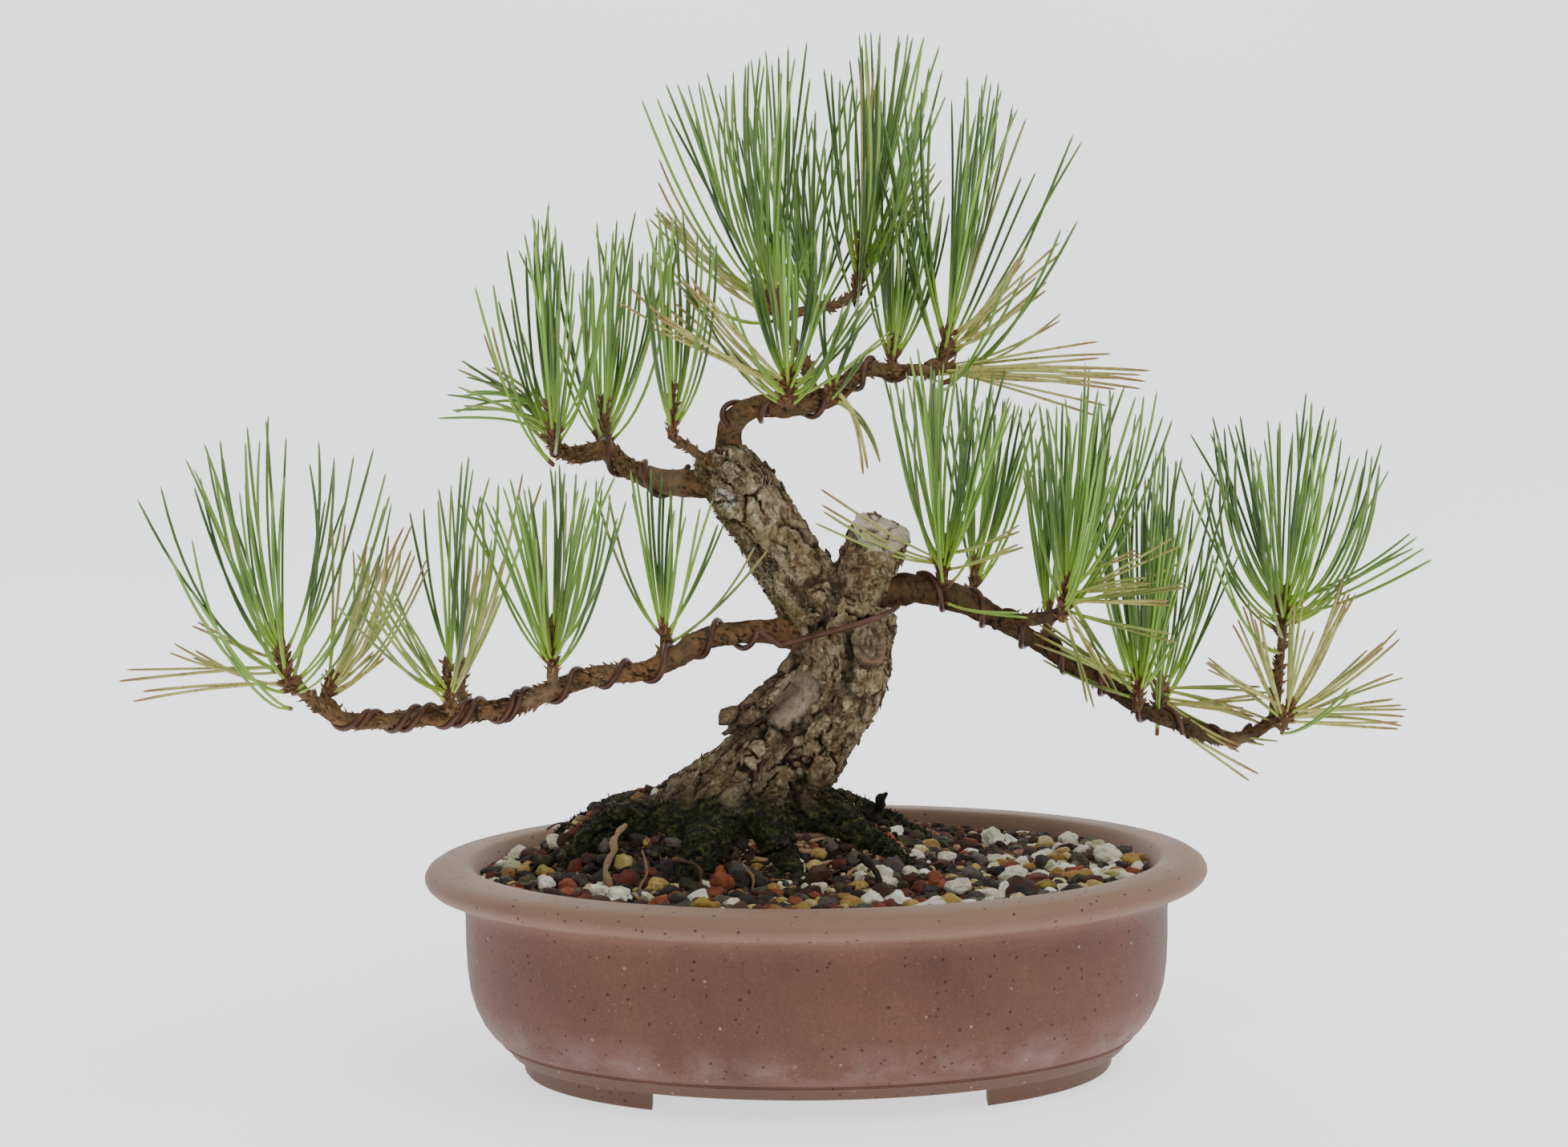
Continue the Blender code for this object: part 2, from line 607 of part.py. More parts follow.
# ---- shoots ------------------------------------------------------------------------------
# Name: host branch, place of the bud (mm), lean of its axis, length of its needles as a share
# of NEEDLE_LENGTH, number of needles, spread at the bud and at the tips (degrees).
SHOOTS = {
    "shoot_left_end": ("branch_left_low", (-213, -57, 181), (-0.08, -0.1, 1), 1.0, 15, 62, 20),
    "shoot_left_end_back": ("branch_left_low", (-199, -40, 170), (0.35, 0.35, 1), 0.75, 11, 70, 42),
    "shoot_left_front": ("branch_left_low", (-150, -56, 166), (-0.25, -0.3, 1), 0.85, 11, 66, 34),
    "shoot_left_back": ("branch_left_low", (-148, -22, 172), (0.05, 0.3, 1), 0.95, 10, 50, 16),
    "shoot_left_centre": ("branch_left_low", (-107, -40, 179), (0.05, -0.1, 1), 0.80, 13, 60, 26),
    "shoot_left_inner": ("branch_left_low", (-64, -14, 183), (0.05, 0.25, 1), 0.68, 10, 62, 28),
    "shoot_middle_end": ("branch_left_middle", (-108, 14, 267), (-0.1, -0.15, 1), 0.85, 13, 58, 16),
    "shoot_middle_low": ("branch_left_middle", (-112, 34, 262), (-0.9, 0.35, 0.55), 0.75, 9, 44, 26),
    "shoot_middle_top": ("branch_left_middle", (-88, 32, 270), (0.05, 0.25, 1), 0.88, 13, 60, 20),
    "shoot_middle_inner": ("twig_left_upper", (-58, -20, 277), (0.0, -0.1, 1), 0.88, 12, 56, 18),
    "shoot_apex_front": ("branch_apex", (-10, -22, 290), (-0.1, -0.4, 1), 0.80, 14, 70, 36),
    "shoot_apex_low": ("branch_apex", (10, -17, 289), (0.25, -0.5, 1), 0.50, 8, 54, 30),
    "shoot_apex_left_back": ("branch_apex_back", (-16, 22, 322), (-0.3, 0.1, 1), 1.05, 15, 60, 22),
    "shoot_apex_crown": ("branch_apex_back", (22, 34, 331), (0.05, 0.1, 1), 1.0, 16, 58, 20),
    "shoot_apex_back": ("branch_apex_back", (2, 34, 324), (-0.1, 0.9, 1), 0.80, 12, 60, 30),
    "shoot_apex_middle": ("branch_apex", (36, 12, 300), (0.05, 0.45, 1), 0.72, 10, 60, 30),
    "shoot_apex_right": ("branch_apex", (57, 10, 302), (0.35, -0.05, 1), 1.08, 14, 56, 24),
    "shoot_apex_right_low": ("branch_apex", (54, -3, 293), (1.0, -0.35, 0.05), 0.82, 9, 36, 26),
    "shoot_right_front": ("branch_right_low", (56, -2, 213), (-0.05, -0.35, 1), 0.95, 14, 62, 26),
    "shoot_right_back": ("branch_right_low", (70, 22, 207), (0.3, 0.5, 1), 0.85, 12, 60, 28),
    "shoot_right_middle": ("twig_right_inner", (106, -6, 198), (0.1, -0.25, 1), 0.95, 14, 60, 24),
    "shoot_right_under": ("branch_right_low", (102, 34, 186), (0.2, 0.7, 1), 0.85, 11, 60, 30),
    "shoot_right_dense": ("branch_right_low", (140, 19, 156), (-0.05, -0.3, 1), 1.0, 15, 58, 22),
    "shoot_right_dense_back": ("branch_right_low", (150, 44, 150), (0.1, 0.55, 1), 0.88, 12, 60, 26),
    "shoot_right_upright": ("branch_right_low", (203, 40, 182), (0.02, 0.0, 1), 0.92, 16, 66, 30),
    "shoot_right_end": ("branch_right_low", (204, 30, 141), (0.45, -0.4, 0.8), 0.68, 10, 70, 46),
}
NEEDLE_STEPS = (0.12, 0.55, 1.0)
NEEDLE_TAPER = (1.0, 0.85, 0.3)


def needle_path(bud, axis, outward, length, spread, tip_spread):
    """The centre line of a needle that leaves the bud sideways and turns along the axis."""
    tilt = axis.angle(outward)
    share = min(1.0, tilt / math.radians(100))
    across = (outward - axis * outward.dot(axis))
    across = across.normalized() if across.length > 1e-6 else axis.orthogonal().normalized()
    here = bud + outward * BUD_RADIUS * 0.9
    path, at = [here], 0.0
    for stop in NEEDLE_STEPS:
        angle = math.radians(spread + (tip_spread - spread) * math.sqrt(stop)) * share
        here = here + (axis * math.cos(angle) + across * math.sin(angle)) * length * (stop - at)
        path.append(here)
        at = stop
    return path


def choose_faces(bm, axis, bud, count):
    """The bud's faces that bear needles, spread evenly over its upper side."""
    facing = [f for f in bm.faces if f.normal.dot(axis) > -0.12]
    facing.sort(key=lambda f: -f.normal.dot(axis))
    chosen = [facing[0]]
    while len(chosen) < min(count, len(facing)):
        def lone(face):
            return min((face.normal - c.normal).length for c in chosen)
        chosen.append(max((f for f in facing if f not in chosen), key=lone))
    return chosen


def stem_path(path, bud, radius, room):
    """A straight stem from a host branch to a bud, where it best passes the wires."""
    shares = [k / 80 for k in range(8, 81)]
    shares.sort(key=lambda s: math.dist(along(path, s)[0], bud))
    best, best_gap = None, -1.0
    for share in shares:
        here, _, thick = along(path, share)
        toward = Vector(bud) - Vector(here)
        if toward.length < thick + radius + BUD_RADIUS:
            continue
        start = Vector(here) + toward.normalized() * (thick + 2 * PLAY + 0.3 * radius)
        while room.branches.clearance([start, start], [0.8 * radius] * 2) < 0.5 * PLAY:
            start += toward.normalized() * PLAY
        gap = room.stem_clearance(start, Vector(bud), radius)
        if gap > best_gap:
            best, best_gap = start, gap
        if gap > PLAY:
            break
    return best


def off_the_host(bud, path):
    """The bud's place, moved out where the branch and its wire would touch it."""
    here, _, thick = min((along(path, k / 80) for k in range(81)), key=lambda at: math.dist(at[0], bud))
    out = bud - Vector(here)
    needed = 1.1 * thick + TRAINING_WIRE + 3 * PLAY + BUD_RADIUS
    return bud + out.normalized() * max(0.0, needed - out.length)


def plan_shoots(room):
    """Each shoot's bud, axis and stem, all of them given their room before any needle grows."""
    plans = {}
    for owner, (name, spec) in enumerate(SHOOTS.items(), start=1):
        host, place_at, lean = spec[:3]
        bud = off_the_host(Vector(grown([(*place_at, 0)])[0][:3]), branch_path(host))
        stem = 0.55 * BUD_RADIUS
        start = stem_path(branch_path(host), bud, stem, room)
        room.add([start, bud], [stem, BUD_RADIUS], owner)
        plans[name] = (owner, bud, Vector(lean).normalized(), start, stem)
    return plans


def make_shoot(name, plan, growth, room):
    owner, bud, axis, start, stem = plan
    share, count, spread, tip_spread = growth
    bm = bmesh.new()
    bmesh.ops.create_icosphere(bm, subdivisions=2, radius=BUD_RADIUS)
    bmesh.ops.translate(bm, vec=bud, verts=bm.verts)
    bm.normal_update()
    bearing = choose_faces(bm, axis, bud, count)
    down = (start - bud).normalized()
    lowest = max(bm.verts, key=lambda v: (v.co - bud).dot(down))
    own = Room()
    for k, face in enumerate(bearing):
        length = share * NEEDLE_LENGTH * (0.88 + 0.12 * ((k * 0.618) % 1))
        outward = (face.calc_center_median() - bud).normalized()
        path, radii = find_way(outward, bud, axis, length, (spread, tip_spread), (room, own), owner)
        own.add(path[1:], radii[1:])
        room.add(path, radii, owner)
        grow_needle(face, path, radii, bm)
    grow_stem(bm, lowest, bud, start, stem)
    shade(place(name, mesh_of(bm, name), NEEDLE), 40)


def find_way(outward, bud, axis, length, spreads, rooms, owner):
    """A needle's line, bent aside and at last shortened until it touches no other."""
    room, own = rooms
    radii = [NEEDLE_RADIUS * 1.2, *(NEEDLE_RADIUS * t for t in NEEDLE_TAPER)]
    best, best_gap = None, -1.0
    for trial in range(120):
        swing = Matrix.Rotation(2.4 * trial, 3, axis) @ axis.orthogonal().normalized()
        aside = (outward + swing * 0.01 * trial).normalized()
        path = needle_path(bud, axis, aside, length * (1 - 0.003 * trial), *spreads)
        gap = min(room.clearance(path, radii, owner), own.clearance(path[1:], radii[1:]))
        if gap > best_gap:
            best, best_gap = path, gap
        if gap > NEEDLE_CLEARANCE:
            break
    return best, radii


def grow_needle(face, path, radii, bm):
    """Draws one needle out of a face of the bud, along its line."""
    for here, ahead, radius in zip(path[1:], [*path[2:], path[-1] * 2 - path[-2]], radii[1:]):
        face = bmesh.ops.extrude_discrete_faces(bm, faces=[face])["faces"][0]
        centre = face.calc_center_median()
        face.normal_update()
        turn = face.normal.rotation_difference((ahead - here).normalized()).to_matrix()
        width = max((v.co - centre).length for v in face.verts)
        for v in face.verts:
            v.co = here + turn @ (v.co - centre) * (radius / width)


def grow_stem(bm, lowest, bud, start, radius):
    """Draws the stem out of the faces round the bud's lowest corner."""
    faces = list(lowest.link_faces)
    made = bmesh.ops.extrude_face_region(bm, geom=faces)["geom"]
    verts = [g for g in made if isinstance(g, bmesh.types.BMVert)]
    bmesh.ops.delete(bm, geom=[f for f in faces if f.is_valid], context="FACES_ONLY")
    along_stem = (start - bud).normalized()
    for v in verts:
        across = v.co - bud
        across -= along_stem * across.dot(along_stem)
        reach = across.normalized() * radius if across.length > 0.2 * radius else Vector()
        v.co = start + reach


class Garden(Room):
    """The room round the tree, which also knows its wires and its wood apart."""

    def __init__(self):
        super().__init__()
        self.wires = []
        self.wood = Room()
        self.branches = Room()

    def stem_clearance(self, start, bud, radius):
        """The gap between a stem and the wires, and between its free part and the wood."""
        laid = Room()
        for line in self.wires:
            laid.add(line, [TRAINING_WIRE / 2] * len(line))
        free = [start + (bud - start).normalized() * 1.2 * radius, bud]
        sizes = [radius, BUD_RADIUS]
        return min(laid.clearance([start, bud], sizes), self.wood.clearance(free, sizes),
                   self.branches.clearance(free, sizes))


# ---- moss and stones ---------------------------------------------------------------------
MOSS = {
    "moss_front": (-14, -26, 22, 8),
    "moss_left": (-78, 6, 13, 5),
    "moss_right": (12, 4, 8, 6),
    "moss_back": (-8, 46, 22, 9),
}
STONES = {
    "pumice_left_rim": (-128, 20, 5.4), "pumice_left_front": (-112, -38, 5.0),
    "pumice_front_left": (-80, -60, 5.6), "pumice_front": (22, -74, 5.2),
    "pumice_right_front": (58, -58, 6.0), "pumice_right": (82, -30, 6.0),
    "pumice_right_back": (78, 40, 6.2), "pumice_right_rim": (124, 8, 5.8),
}


def make_moss():
    """Pads of moss on the mound, between the roots."""
    sides, steps = 14, 3
    for name, (x, y, a, b) in MOSS.items():
        under, over = [], []
        for k in range(steps + 1):
            share = 1 - 0.9 * k / steps
            lift = MOSS_THICKNESS * math.sqrt(max(0.0, 1 - share**2)) + 0.4 * MM
            ring = []
            for i in range(sides):
                t = 2 * math.pi * i / sides
                px = x * MM + a * MM * share * math.cos(t)
                py = y * MM + b * MM * share * math.sin(t)
                ring.append((px, py, soil_surface(px, py)))
            under.append([(px, py, z + 2.5 * PLAY) for px, py, z in ring])
            over.append([(px, py, z + 2.5 * PLAY + lift) for px, py, z in ring])
        pad = place(name, loft([*reversed(under), *over], name), MOSS_GREEN)
        boolean(pad, wood_room(), "DIFFERENCE")
        shade(pad, 60)


def make_stones():
    """The largest pumice stones of the top dressing, each resting on the soil."""
    for k, (name, (x, y, radius)) in enumerate(STONES.items()):
        bm = bmesh.new()
        bmesh.ops.create_icosphere(bm, subdivisions=1, radius=radius * MM)
        for v in bm.verts:
            v.co.x *= 1.15 + 0.2 * math.sin(7 * k + 900 * v.co.z)
            v.co.y *= 0.95 + 0.15 * math.cos(5 * k + 800 * v.co.x)
            v.co.z *= 0.78
        low = min(v.co.z for v in bm.verts)
        ground = max(soil_surface(x * MM + v.co.x, y * MM + v.co.y) for v in bm.verts)
        bmesh.ops.translate(bm, vec=(x * MM, y * MM, ground + 2 * PLAY - low), verts=bm.verts)
        shade(place(name, mesh_of(bm, name), PUMICE), 50)


# ---- the whole ---------------------------------------------------------------------------
def make_tree():
    garden = Garden()
    make_trunk()
    for points in (TRUNK, STUB):
        line = smooth_path(grown(points), 4 * MM)
        garden.wood.add([p[:3] for p in line], [p[3] for p in line])
        garden.add([p[:3] for p in line], [p[3] for p in line])
    make_branches(garden)
    make_wires(garden)
    for line in garden.wires:
        garden.add(line, [TRAINING_WIRE / 2] * len(line))
    for name, plan in plan_shoots(garden).items():
        make_shoot(name, plan, SHOOTS[name][3:], garden)


clear_scene()
BONSAI = collection("pine_bonsai")
CUTTERS = collection("cutters")
CLAY = material("unglazed_clay", (0.27, 0.15, 0.115), 0.75)
SOIL = material("soil_mix", (0.09, 0.06, 0.045), 0.95)
PLASTIC = material("black_net", (0.03, 0.03, 0.03), 0.6)
COPPER = material("brown_wire", (0.22, 0.09, 0.06), 0.45, 0.8)
WOOD = material("trunk_bark", (0.24, 0.17, 0.11), 0.95)
BARK = material("branch_bark", (0.20, 0.11, 0.06), 0.9)
NEEDLE = material("pine_needle", (0.10, 0.21, 0.06), 0.5)
MOSS_GREEN = material("moss", (0.04, 0.06, 0.02), 0.95)
PUMICE = material("pumice", (0.66, 0.62, 0.50), 0.95)
make_pot()
make_drainage()
make_soil()
make_tree()
make_moss()
make_stones()
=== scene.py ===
"""A trained pine in an oval clay pot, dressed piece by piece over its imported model."""

import math

import bmesh
import bpy
import numpy as np
from mathutils import Matrix, Vector, kdtree


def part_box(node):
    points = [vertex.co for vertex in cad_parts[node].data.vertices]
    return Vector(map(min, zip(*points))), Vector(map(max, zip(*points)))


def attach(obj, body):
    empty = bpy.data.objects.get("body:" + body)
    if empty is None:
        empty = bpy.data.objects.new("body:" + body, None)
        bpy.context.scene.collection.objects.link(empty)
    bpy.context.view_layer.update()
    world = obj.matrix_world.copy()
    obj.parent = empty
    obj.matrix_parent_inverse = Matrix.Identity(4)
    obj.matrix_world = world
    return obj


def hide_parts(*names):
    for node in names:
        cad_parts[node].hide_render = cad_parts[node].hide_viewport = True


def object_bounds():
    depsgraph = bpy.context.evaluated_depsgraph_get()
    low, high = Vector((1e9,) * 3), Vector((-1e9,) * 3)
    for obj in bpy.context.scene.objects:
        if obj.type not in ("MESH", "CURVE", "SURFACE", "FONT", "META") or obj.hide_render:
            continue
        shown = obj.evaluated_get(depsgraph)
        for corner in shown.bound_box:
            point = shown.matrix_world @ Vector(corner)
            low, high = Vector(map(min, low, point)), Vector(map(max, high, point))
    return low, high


bl_info = {
    "name": "Potted Bonsai Pine",
    "version": (1, 0, 0),
    "blender": (4, 5, 0),
    "location": "3D Viewport > Sidebar > Bonsai",
    "description": "Builds a trained pine with bark, needles, wires, grit and a clay pot",
    "category": "Add Mesh",
}

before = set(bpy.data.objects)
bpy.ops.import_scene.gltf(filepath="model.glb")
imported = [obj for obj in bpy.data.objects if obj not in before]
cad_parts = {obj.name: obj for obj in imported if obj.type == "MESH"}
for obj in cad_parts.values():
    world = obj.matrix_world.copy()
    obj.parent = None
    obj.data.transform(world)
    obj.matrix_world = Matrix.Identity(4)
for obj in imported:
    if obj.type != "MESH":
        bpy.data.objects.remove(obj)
CAD_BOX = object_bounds()
MM = 0.001
FULL_TURN = 2 * math.pi
POT_LOW, POT_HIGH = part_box("pot")
SOIL_LOW, SOIL_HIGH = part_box("soil_mix")
SOIL_LEVEL = POT_HIGH.z - 8 * MM


# ---- noise ---------------------------------------------------------------------------------
def lattice(cell, seed):
    """A fixed number from 0 to 1 for each corner of the noise's grid."""
    n = cell.astype(np.uint64)
    mixed = (n[:, 0] * np.uint64(73856093)) ^ (n[:, 1] * np.uint64(19349663))
    mixed ^= (n[:, 2] * np.uint64(83492791)) ^ np.uint64(seed * 7919 + 1)
    for _ in range(2):
        mixed = (mixed ^ (mixed >> np.uint64(15))) * np.uint64(2246822519)
        mixed &= np.uint64(0xFFFFFFFF)
    return (mixed & np.uint64(0xFFFFFF)).astype(float) / 0xFFFFFF


def noise(points, size, seed=0):
    """Smooth noise from -1 to 1, with lumps of about `size`."""
    p = np.asarray(points, float) / size + 5000.0 + seed * 3.7
    cell = np.floor(p)
    f = p - cell
    f = f * f * (3 - 2 * f)
    total = np.zeros(len(p))
    for corner in np.ndindex(2, 2, 2):
        weight = np.prod(np.where(np.array(corner), f, 1 - f), axis=1)
        total += weight * lattice(cell + corner, seed)
    return total * 2 - 1


def layered(points, size, octaves=3, seed=0):
    """Noise with finer and weaker layers added."""
    total, weight = np.zeros(len(points)), 0.0
    for k in range(octaves):
        total += noise(points, size / 2**k, seed + 11 * k) / 2**k
        weight += 0.5**k
    return total / weight


def round_turn(count):
    """Angles spaced evenly round a full turn."""
    return np.linspace(0, FULL_TURN, count, endpoint=False)


def ease(low, high, value):
    """Goes smoothly from 0 at `low` to 1 at `high`."""
    t = np.clip((value - low) / (high - low), 0, 1)
    return t * t * (3 - 2 * t)


# ---- meshes --------------------------------------------------------------------------------
def smooth_path(points, step):
    """A Catmull-Rom curve through the points, sampled about every `step`."""
    p = [np.array(q, float) for q in points]
    p = [2 * p[0] - p[1], *p, 2 * p[-1] - p[-2]]
    out = []
    for a, b, c, d in zip(p, p[1:], p[2:], p[3:]):
        count = max(1, round(np.linalg.norm((c - b)[:3]) / step))
        for k in range(count):
            t = k / count
            out.append(0.5 * (2 * b + (c - a) * t + (2 * a - 5 * b + 4 * c - d) * t**2
                              + (3 * b - a - 3 * c + d) * t**3))
    out.append(p[-2])
    return np.array(out)


def unit(vectors):
    """The vectors of an array, each brought to length 1."""
    return vectors / np.linalg.norm(vectors, axis=-1, keepdims=True)


def millimetres(points):
    return [tuple(v * MM for v in point) for point in points]


def carried_frames(line):
    """For each point of a line, its direction and two sides that turn no more than they must."""
    ahead = unit(np.gradient(line, axis=0))
    start = np.cross(ahead[0], (0.0, -1.0, 0.12))
    side = start / np.linalg.norm(start)
    sides = []
    for direction in ahead:
        side = side - direction * side.dot(direction)
        side /= np.linalg.norm(side)
        sides.append(side)
    sides = np.array(sides)
    return ahead, sides, np.cross(ahead, sides)


def sweep(line, radii, count, flat=1.0):
    """The points and faces of a closed rod along a line; `flat` squashes it across one side."""
    line, radii = np.asarray(line, float), np.asarray(radii, float)
    _, side, up = carried_frames(line)
    turn = round_turn(count)
    ring = (side[:, None] * np.cos(turn)[None, :, None] * flat
            + up[:, None] * np.sin(turn)[None, :, None])
    verts = (line[:, None] + ring * radii[:, None, None]).reshape(-1, 3)
    i, j = np.meshgrid(np.arange(len(line) - 1), np.arange(count), indexing="ij")
    a, b = i * count + j, i * count + (j + 1) % count
    quads = np.stack([a, b, b + count, a + count], axis=-1).reshape(-1, 4)
    first, last = len(verts), len(verts) + 1
    verts = np.concatenate([verts, line[:1], line[-1:]])
    around = np.arange(count)
    beyond = (around + 1) % count
    base = (len(line) - 1) * count
    low = np.stack([np.full(count, first), beyond, around], axis=1)
    high = np.stack([np.full(count, last), base + around, base + beyond], axis=1)
    return verts, quads, np.concatenate([low, high])


def joined(parts):
    """Several (points, quads, triangles) made into one."""
    verts, quads, tris, at = [], [], [], 0
    for v, q, t in parts:
        verts.append(v)
        quads.append(np.asarray(q, int).reshape(-1, 4) + at)
        tris.append(np.asarray(t, int).reshape(-1, 3) + at)
        at += len(v)
    return np.concatenate(verts), np.concatenate(quads), np.concatenate(tris)


def mesh_of(name, verts, quads, tris, attributes=None):
    """A mesh from arrays, with a number for each point under each attribute's name."""
    mesh = bpy.data.meshes.new(name)
    quads, tris = np.asarray(quads, int).reshape(-1, 4), np.asarray(tris, int).reshape(-1, 3)
    mesh.from_pydata(np.asarray(verts).tolist(), [], [*quads.tolist(), *tris.tolist()])
    for title, values in (attributes or {}).items():
        put_values(mesh, title, values)
    mesh.shade_smooth()
    return mesh


def linked(name, data):
    """A new object in the scene."""
    made = bpy.data.objects.new(name, data)
    bpy.context.scene.collection.objects.link(made)
    return made


def piece(name, mesh, looks, stands_for=()):
    """A finished piece of the object: its looks and what it stands for."""
    made = linked(name, mesh)
    for look in looks if isinstance(looks, (list, tuple)) else [looks]:
        mesh.materials.append(look)
    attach(made, "root")
    if stands_for:
        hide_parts(*stands_for)
    return made


def point_array(mesh, what="co"):
    out = np.empty(len(mesh.vertices) * 3, np.float32)
    mesh.vertices.foreach_get(what, out)
    return out.reshape(-1, 3).astype(float)


def normal_array(mesh):
    return point_array(mesh, "normal")


def put_points(mesh, points):
    mesh.vertices.foreach_set("co", np.asarray(points, np.float32).ravel())
    mesh.update()


def put_values(mesh, title, values):
    made = mesh.attributes.get(title) or mesh.attributes.new(title, "FLOAT", "POINT")
    made.data.foreach_set("value", np.asarray(values, np.float32))


def relaxed(mesh, rounds, share=0.5):
    """Smooths a mesh by moving each point towards the middle of its neighbours."""
    co = point_array(mesh)
    ends = np.empty(len(mesh.edges) * 2, np.int32)
    mesh.edges.foreach_get("vertices", ends)
    a, b = ends.reshape(-1, 2).T
    degree = np.bincount(np.concatenate([a, b]), minlength=len(co))[:, None]
    for _ in range(rounds):
        total = np.stack([np.bincount(a, co[b, k], len(co)) + np.bincount(b, co[a, k], len(co))
                          for k in range(3)], axis=1)
        co += share * (total / degree - co)
    put_points(mesh, co)


def fused(name, parts, voxel):
    """One skin round several overlapping solids."""
    shape = linked(name, mesh_of(name, *joined(parts)))
    remesh = shape.modifiers.new("Fuse", "REMESH")
    remesh.mode = "VOXEL"
    remesh.voxel_size = voxel
    graph = bpy.context.evaluated_depsgraph_get()
    mesh = bpy.data.meshes.new_from_object(shape.evaluated_get(graph))
    bpy.data.objects.remove(shape, do_unlink=True)
    mesh.name = name
    return mesh


def two_nearest(points, seeds):
    """The distance to the nearest seed and to the next, and which seed is nearest."""
    tree = kdtree.KDTree(len(seeds))
    for k, seed in enumerate(seeds):
        tree.insert(seed, k)
    tree.balance()
    near, next_one, owner = np.empty(len(points)), np.empty(len(points)), np.empty(len(points), int)
    for k, point in enumerate(points):
        (_, owner[k], near[k]), (_, _, next_one[k]) = tree.find_n(point, 2)
    return near, next_one, owner


def spaced(points, gap, rng, most=6000):
    """Some of the points, none nearer to another than `gap`."""
    kept = []
    for point in points[rng.permutation(len(points))[:most]]:
        if not kept or np.min(np.sum((np.array(kept) - point) ** 2, axis=1)) > gap * gap:
            kept.append(point)
    return np.array(kept)


# ---- material building ---------------------------------------------------------------------
def scaled(colour, by):
    """A colour made darker or lighter."""
    return tuple(min(1, c * by) for c in colour)


class Look:
    """A material under construction: its nodes are added by what they do."""

    def __init__(self, name, roughness=0.8, **sockets):
        self.material = bpy.data.materials.new(name)
        self.material.use_nodes = True
        self.nodes = self.material.node_tree.nodes
        self.links = self.material.node_tree.links
        self.shader = self.nodes["Principled BSDF"]
        self.shader.inputs["Roughness"].default_value = roughness
        for title, value in sockets.items():
            self.shader.inputs[title.replace("_", " ")].default_value = value

    def node(self, kind, settings=None, **inputs):
        made = self.nodes.new("ShaderNode" + kind)
        for title, value in (settings or {}).items():
            setattr(made, title, value)
        for title, value in inputs.items():
            self.feed(made.inputs[title.replace("_", " ")], value)
        return made

    def feed(self, socket, value):
        if isinstance(value, bpy.types.NodeSocket):
            self.links.new(value, socket)
        elif isinstance(value, tuple) and len(value) == 3 and socket.type == "RGBA":
            socket.default_value = (*value, 1.0)
        else:
            socket.default_value = value

    def place(self):
        if not hasattr(self, "coordinates"):
            self.coordinates = self.node("TexCoord").outputs["Object"]
        return self.coordinates

    def axis(self, name):
        return self.node("SeparateXYZ", Vector=self.place()).outputs[name]

    def value(self, name):
        return self.node("Attribute", {"attribute_name": name}).outputs["Fac"]

    def noise(self, size, detail=3.0, roughness=0.55):
        return self.node("TexNoise", Vector=self.place(), Scale=1 / size, Detail=detail,
                         Roughness=roughness).outputs["Fac"]

    def dots(self, spacing, reach, chosen):
        """Round dots in some cells: from where a dot ends to where it is full, and how few."""
        made = self.node("TexVoronoi", Vector=self.place(), Scale=1 / spacing)
        some = self.range(made.outputs["Color"], *chosen)
        return self.times(self.range(made.outputs["Distance"], *reach), some)

    def ramp(self, factor, *stops):
        """Blends through (position, colour or grey) stops."""
        made = self.node("ValToRGB", Fac=factor)
        bar = made.color_ramp.elements
        while len(bar) < len(stops):
            bar.new(1.0)
        for spot, (where, tint) in zip(bar, stops):
            spot.position = where
            spot.color = (*(tint if isinstance(tint, tuple) else (tint,) * 3), 1.0)
        return made.outputs["Color"]

    def range(self, value, low, high, to_low=0.0, to_high=1.0):
        names = ("Value", "From_Min", "From_Max", "To_Min", "To_Max")
        values = dict(zip(names, (value, low, high, to_low, to_high)))
        return self.node("MapRange", {"clamp": True}, **values).outputs["Result"]

    def maths(self, operation, one, two=0.0):
        made = self.node("Math", {"operation": operation})
        self.feed(made.inputs[0], one)
        self.feed(made.inputs[1], two)
        return made.outputs[0]

    def times(self, one, two):
        return self.maths("MULTIPLY", one, two)

    def plus(self, one, two):
        return self.maths("ADD", one, two)

    def blend(self, factor, one, two, mode="MIX"):
        made = self.node("Mix", {"data_type": "RGBA", "blend_type": mode})
        self.feed(made.inputs[0], factor)
        self.feed(made.inputs[6], one)
        self.feed(made.inputs[7], two)
        return made.outputs[2]

    def coat(self, colour, tint, mask, most):
        """Lays a tint over a colour where the mask is, at most so strongly."""
        return self.blend(self.times(mask, most), colour, tint)

    def finish(self, colour=None, roughness=None, height=None, depth=0.2 * MM, strength=1.0):
        if colour is not None:
            self.feed(self.shader.inputs["Base Color"], colour)
        if roughness is not None:
            self.feed(self.shader.inputs["Roughness"], roughness)
        if height is not None:
            bump = self.node("Bump", Height=height, Distance=depth, Strength=strength)
            self.links.new(bump.outputs["Normal"], self.shader.inputs["Normal"])
        return self.material


# ---- settings ------------------------------------------------------------------------------
def length(name, default, description):
    return bpy.props.FloatProperty(name=name, default=default, description=description,
                                   min=0.0, unit="LENGTH", precision=4)


def share(name, default, description, highest=1.0):
    return bpy.props.FloatProperty(name=name, default=default, description=description,
                                   min=0.0, max=highest, subtype="FACTOR")


def amount(name, default, description):
    return bpy.props.IntProperty(name=name, default=default, description=description, min=1)


def tint(name, default, description):
    return bpy.props.FloatVectorProperty(name=name, default=default, description=description,
                                         size=3, min=0.0, max=1.0, subtype="COLOR")


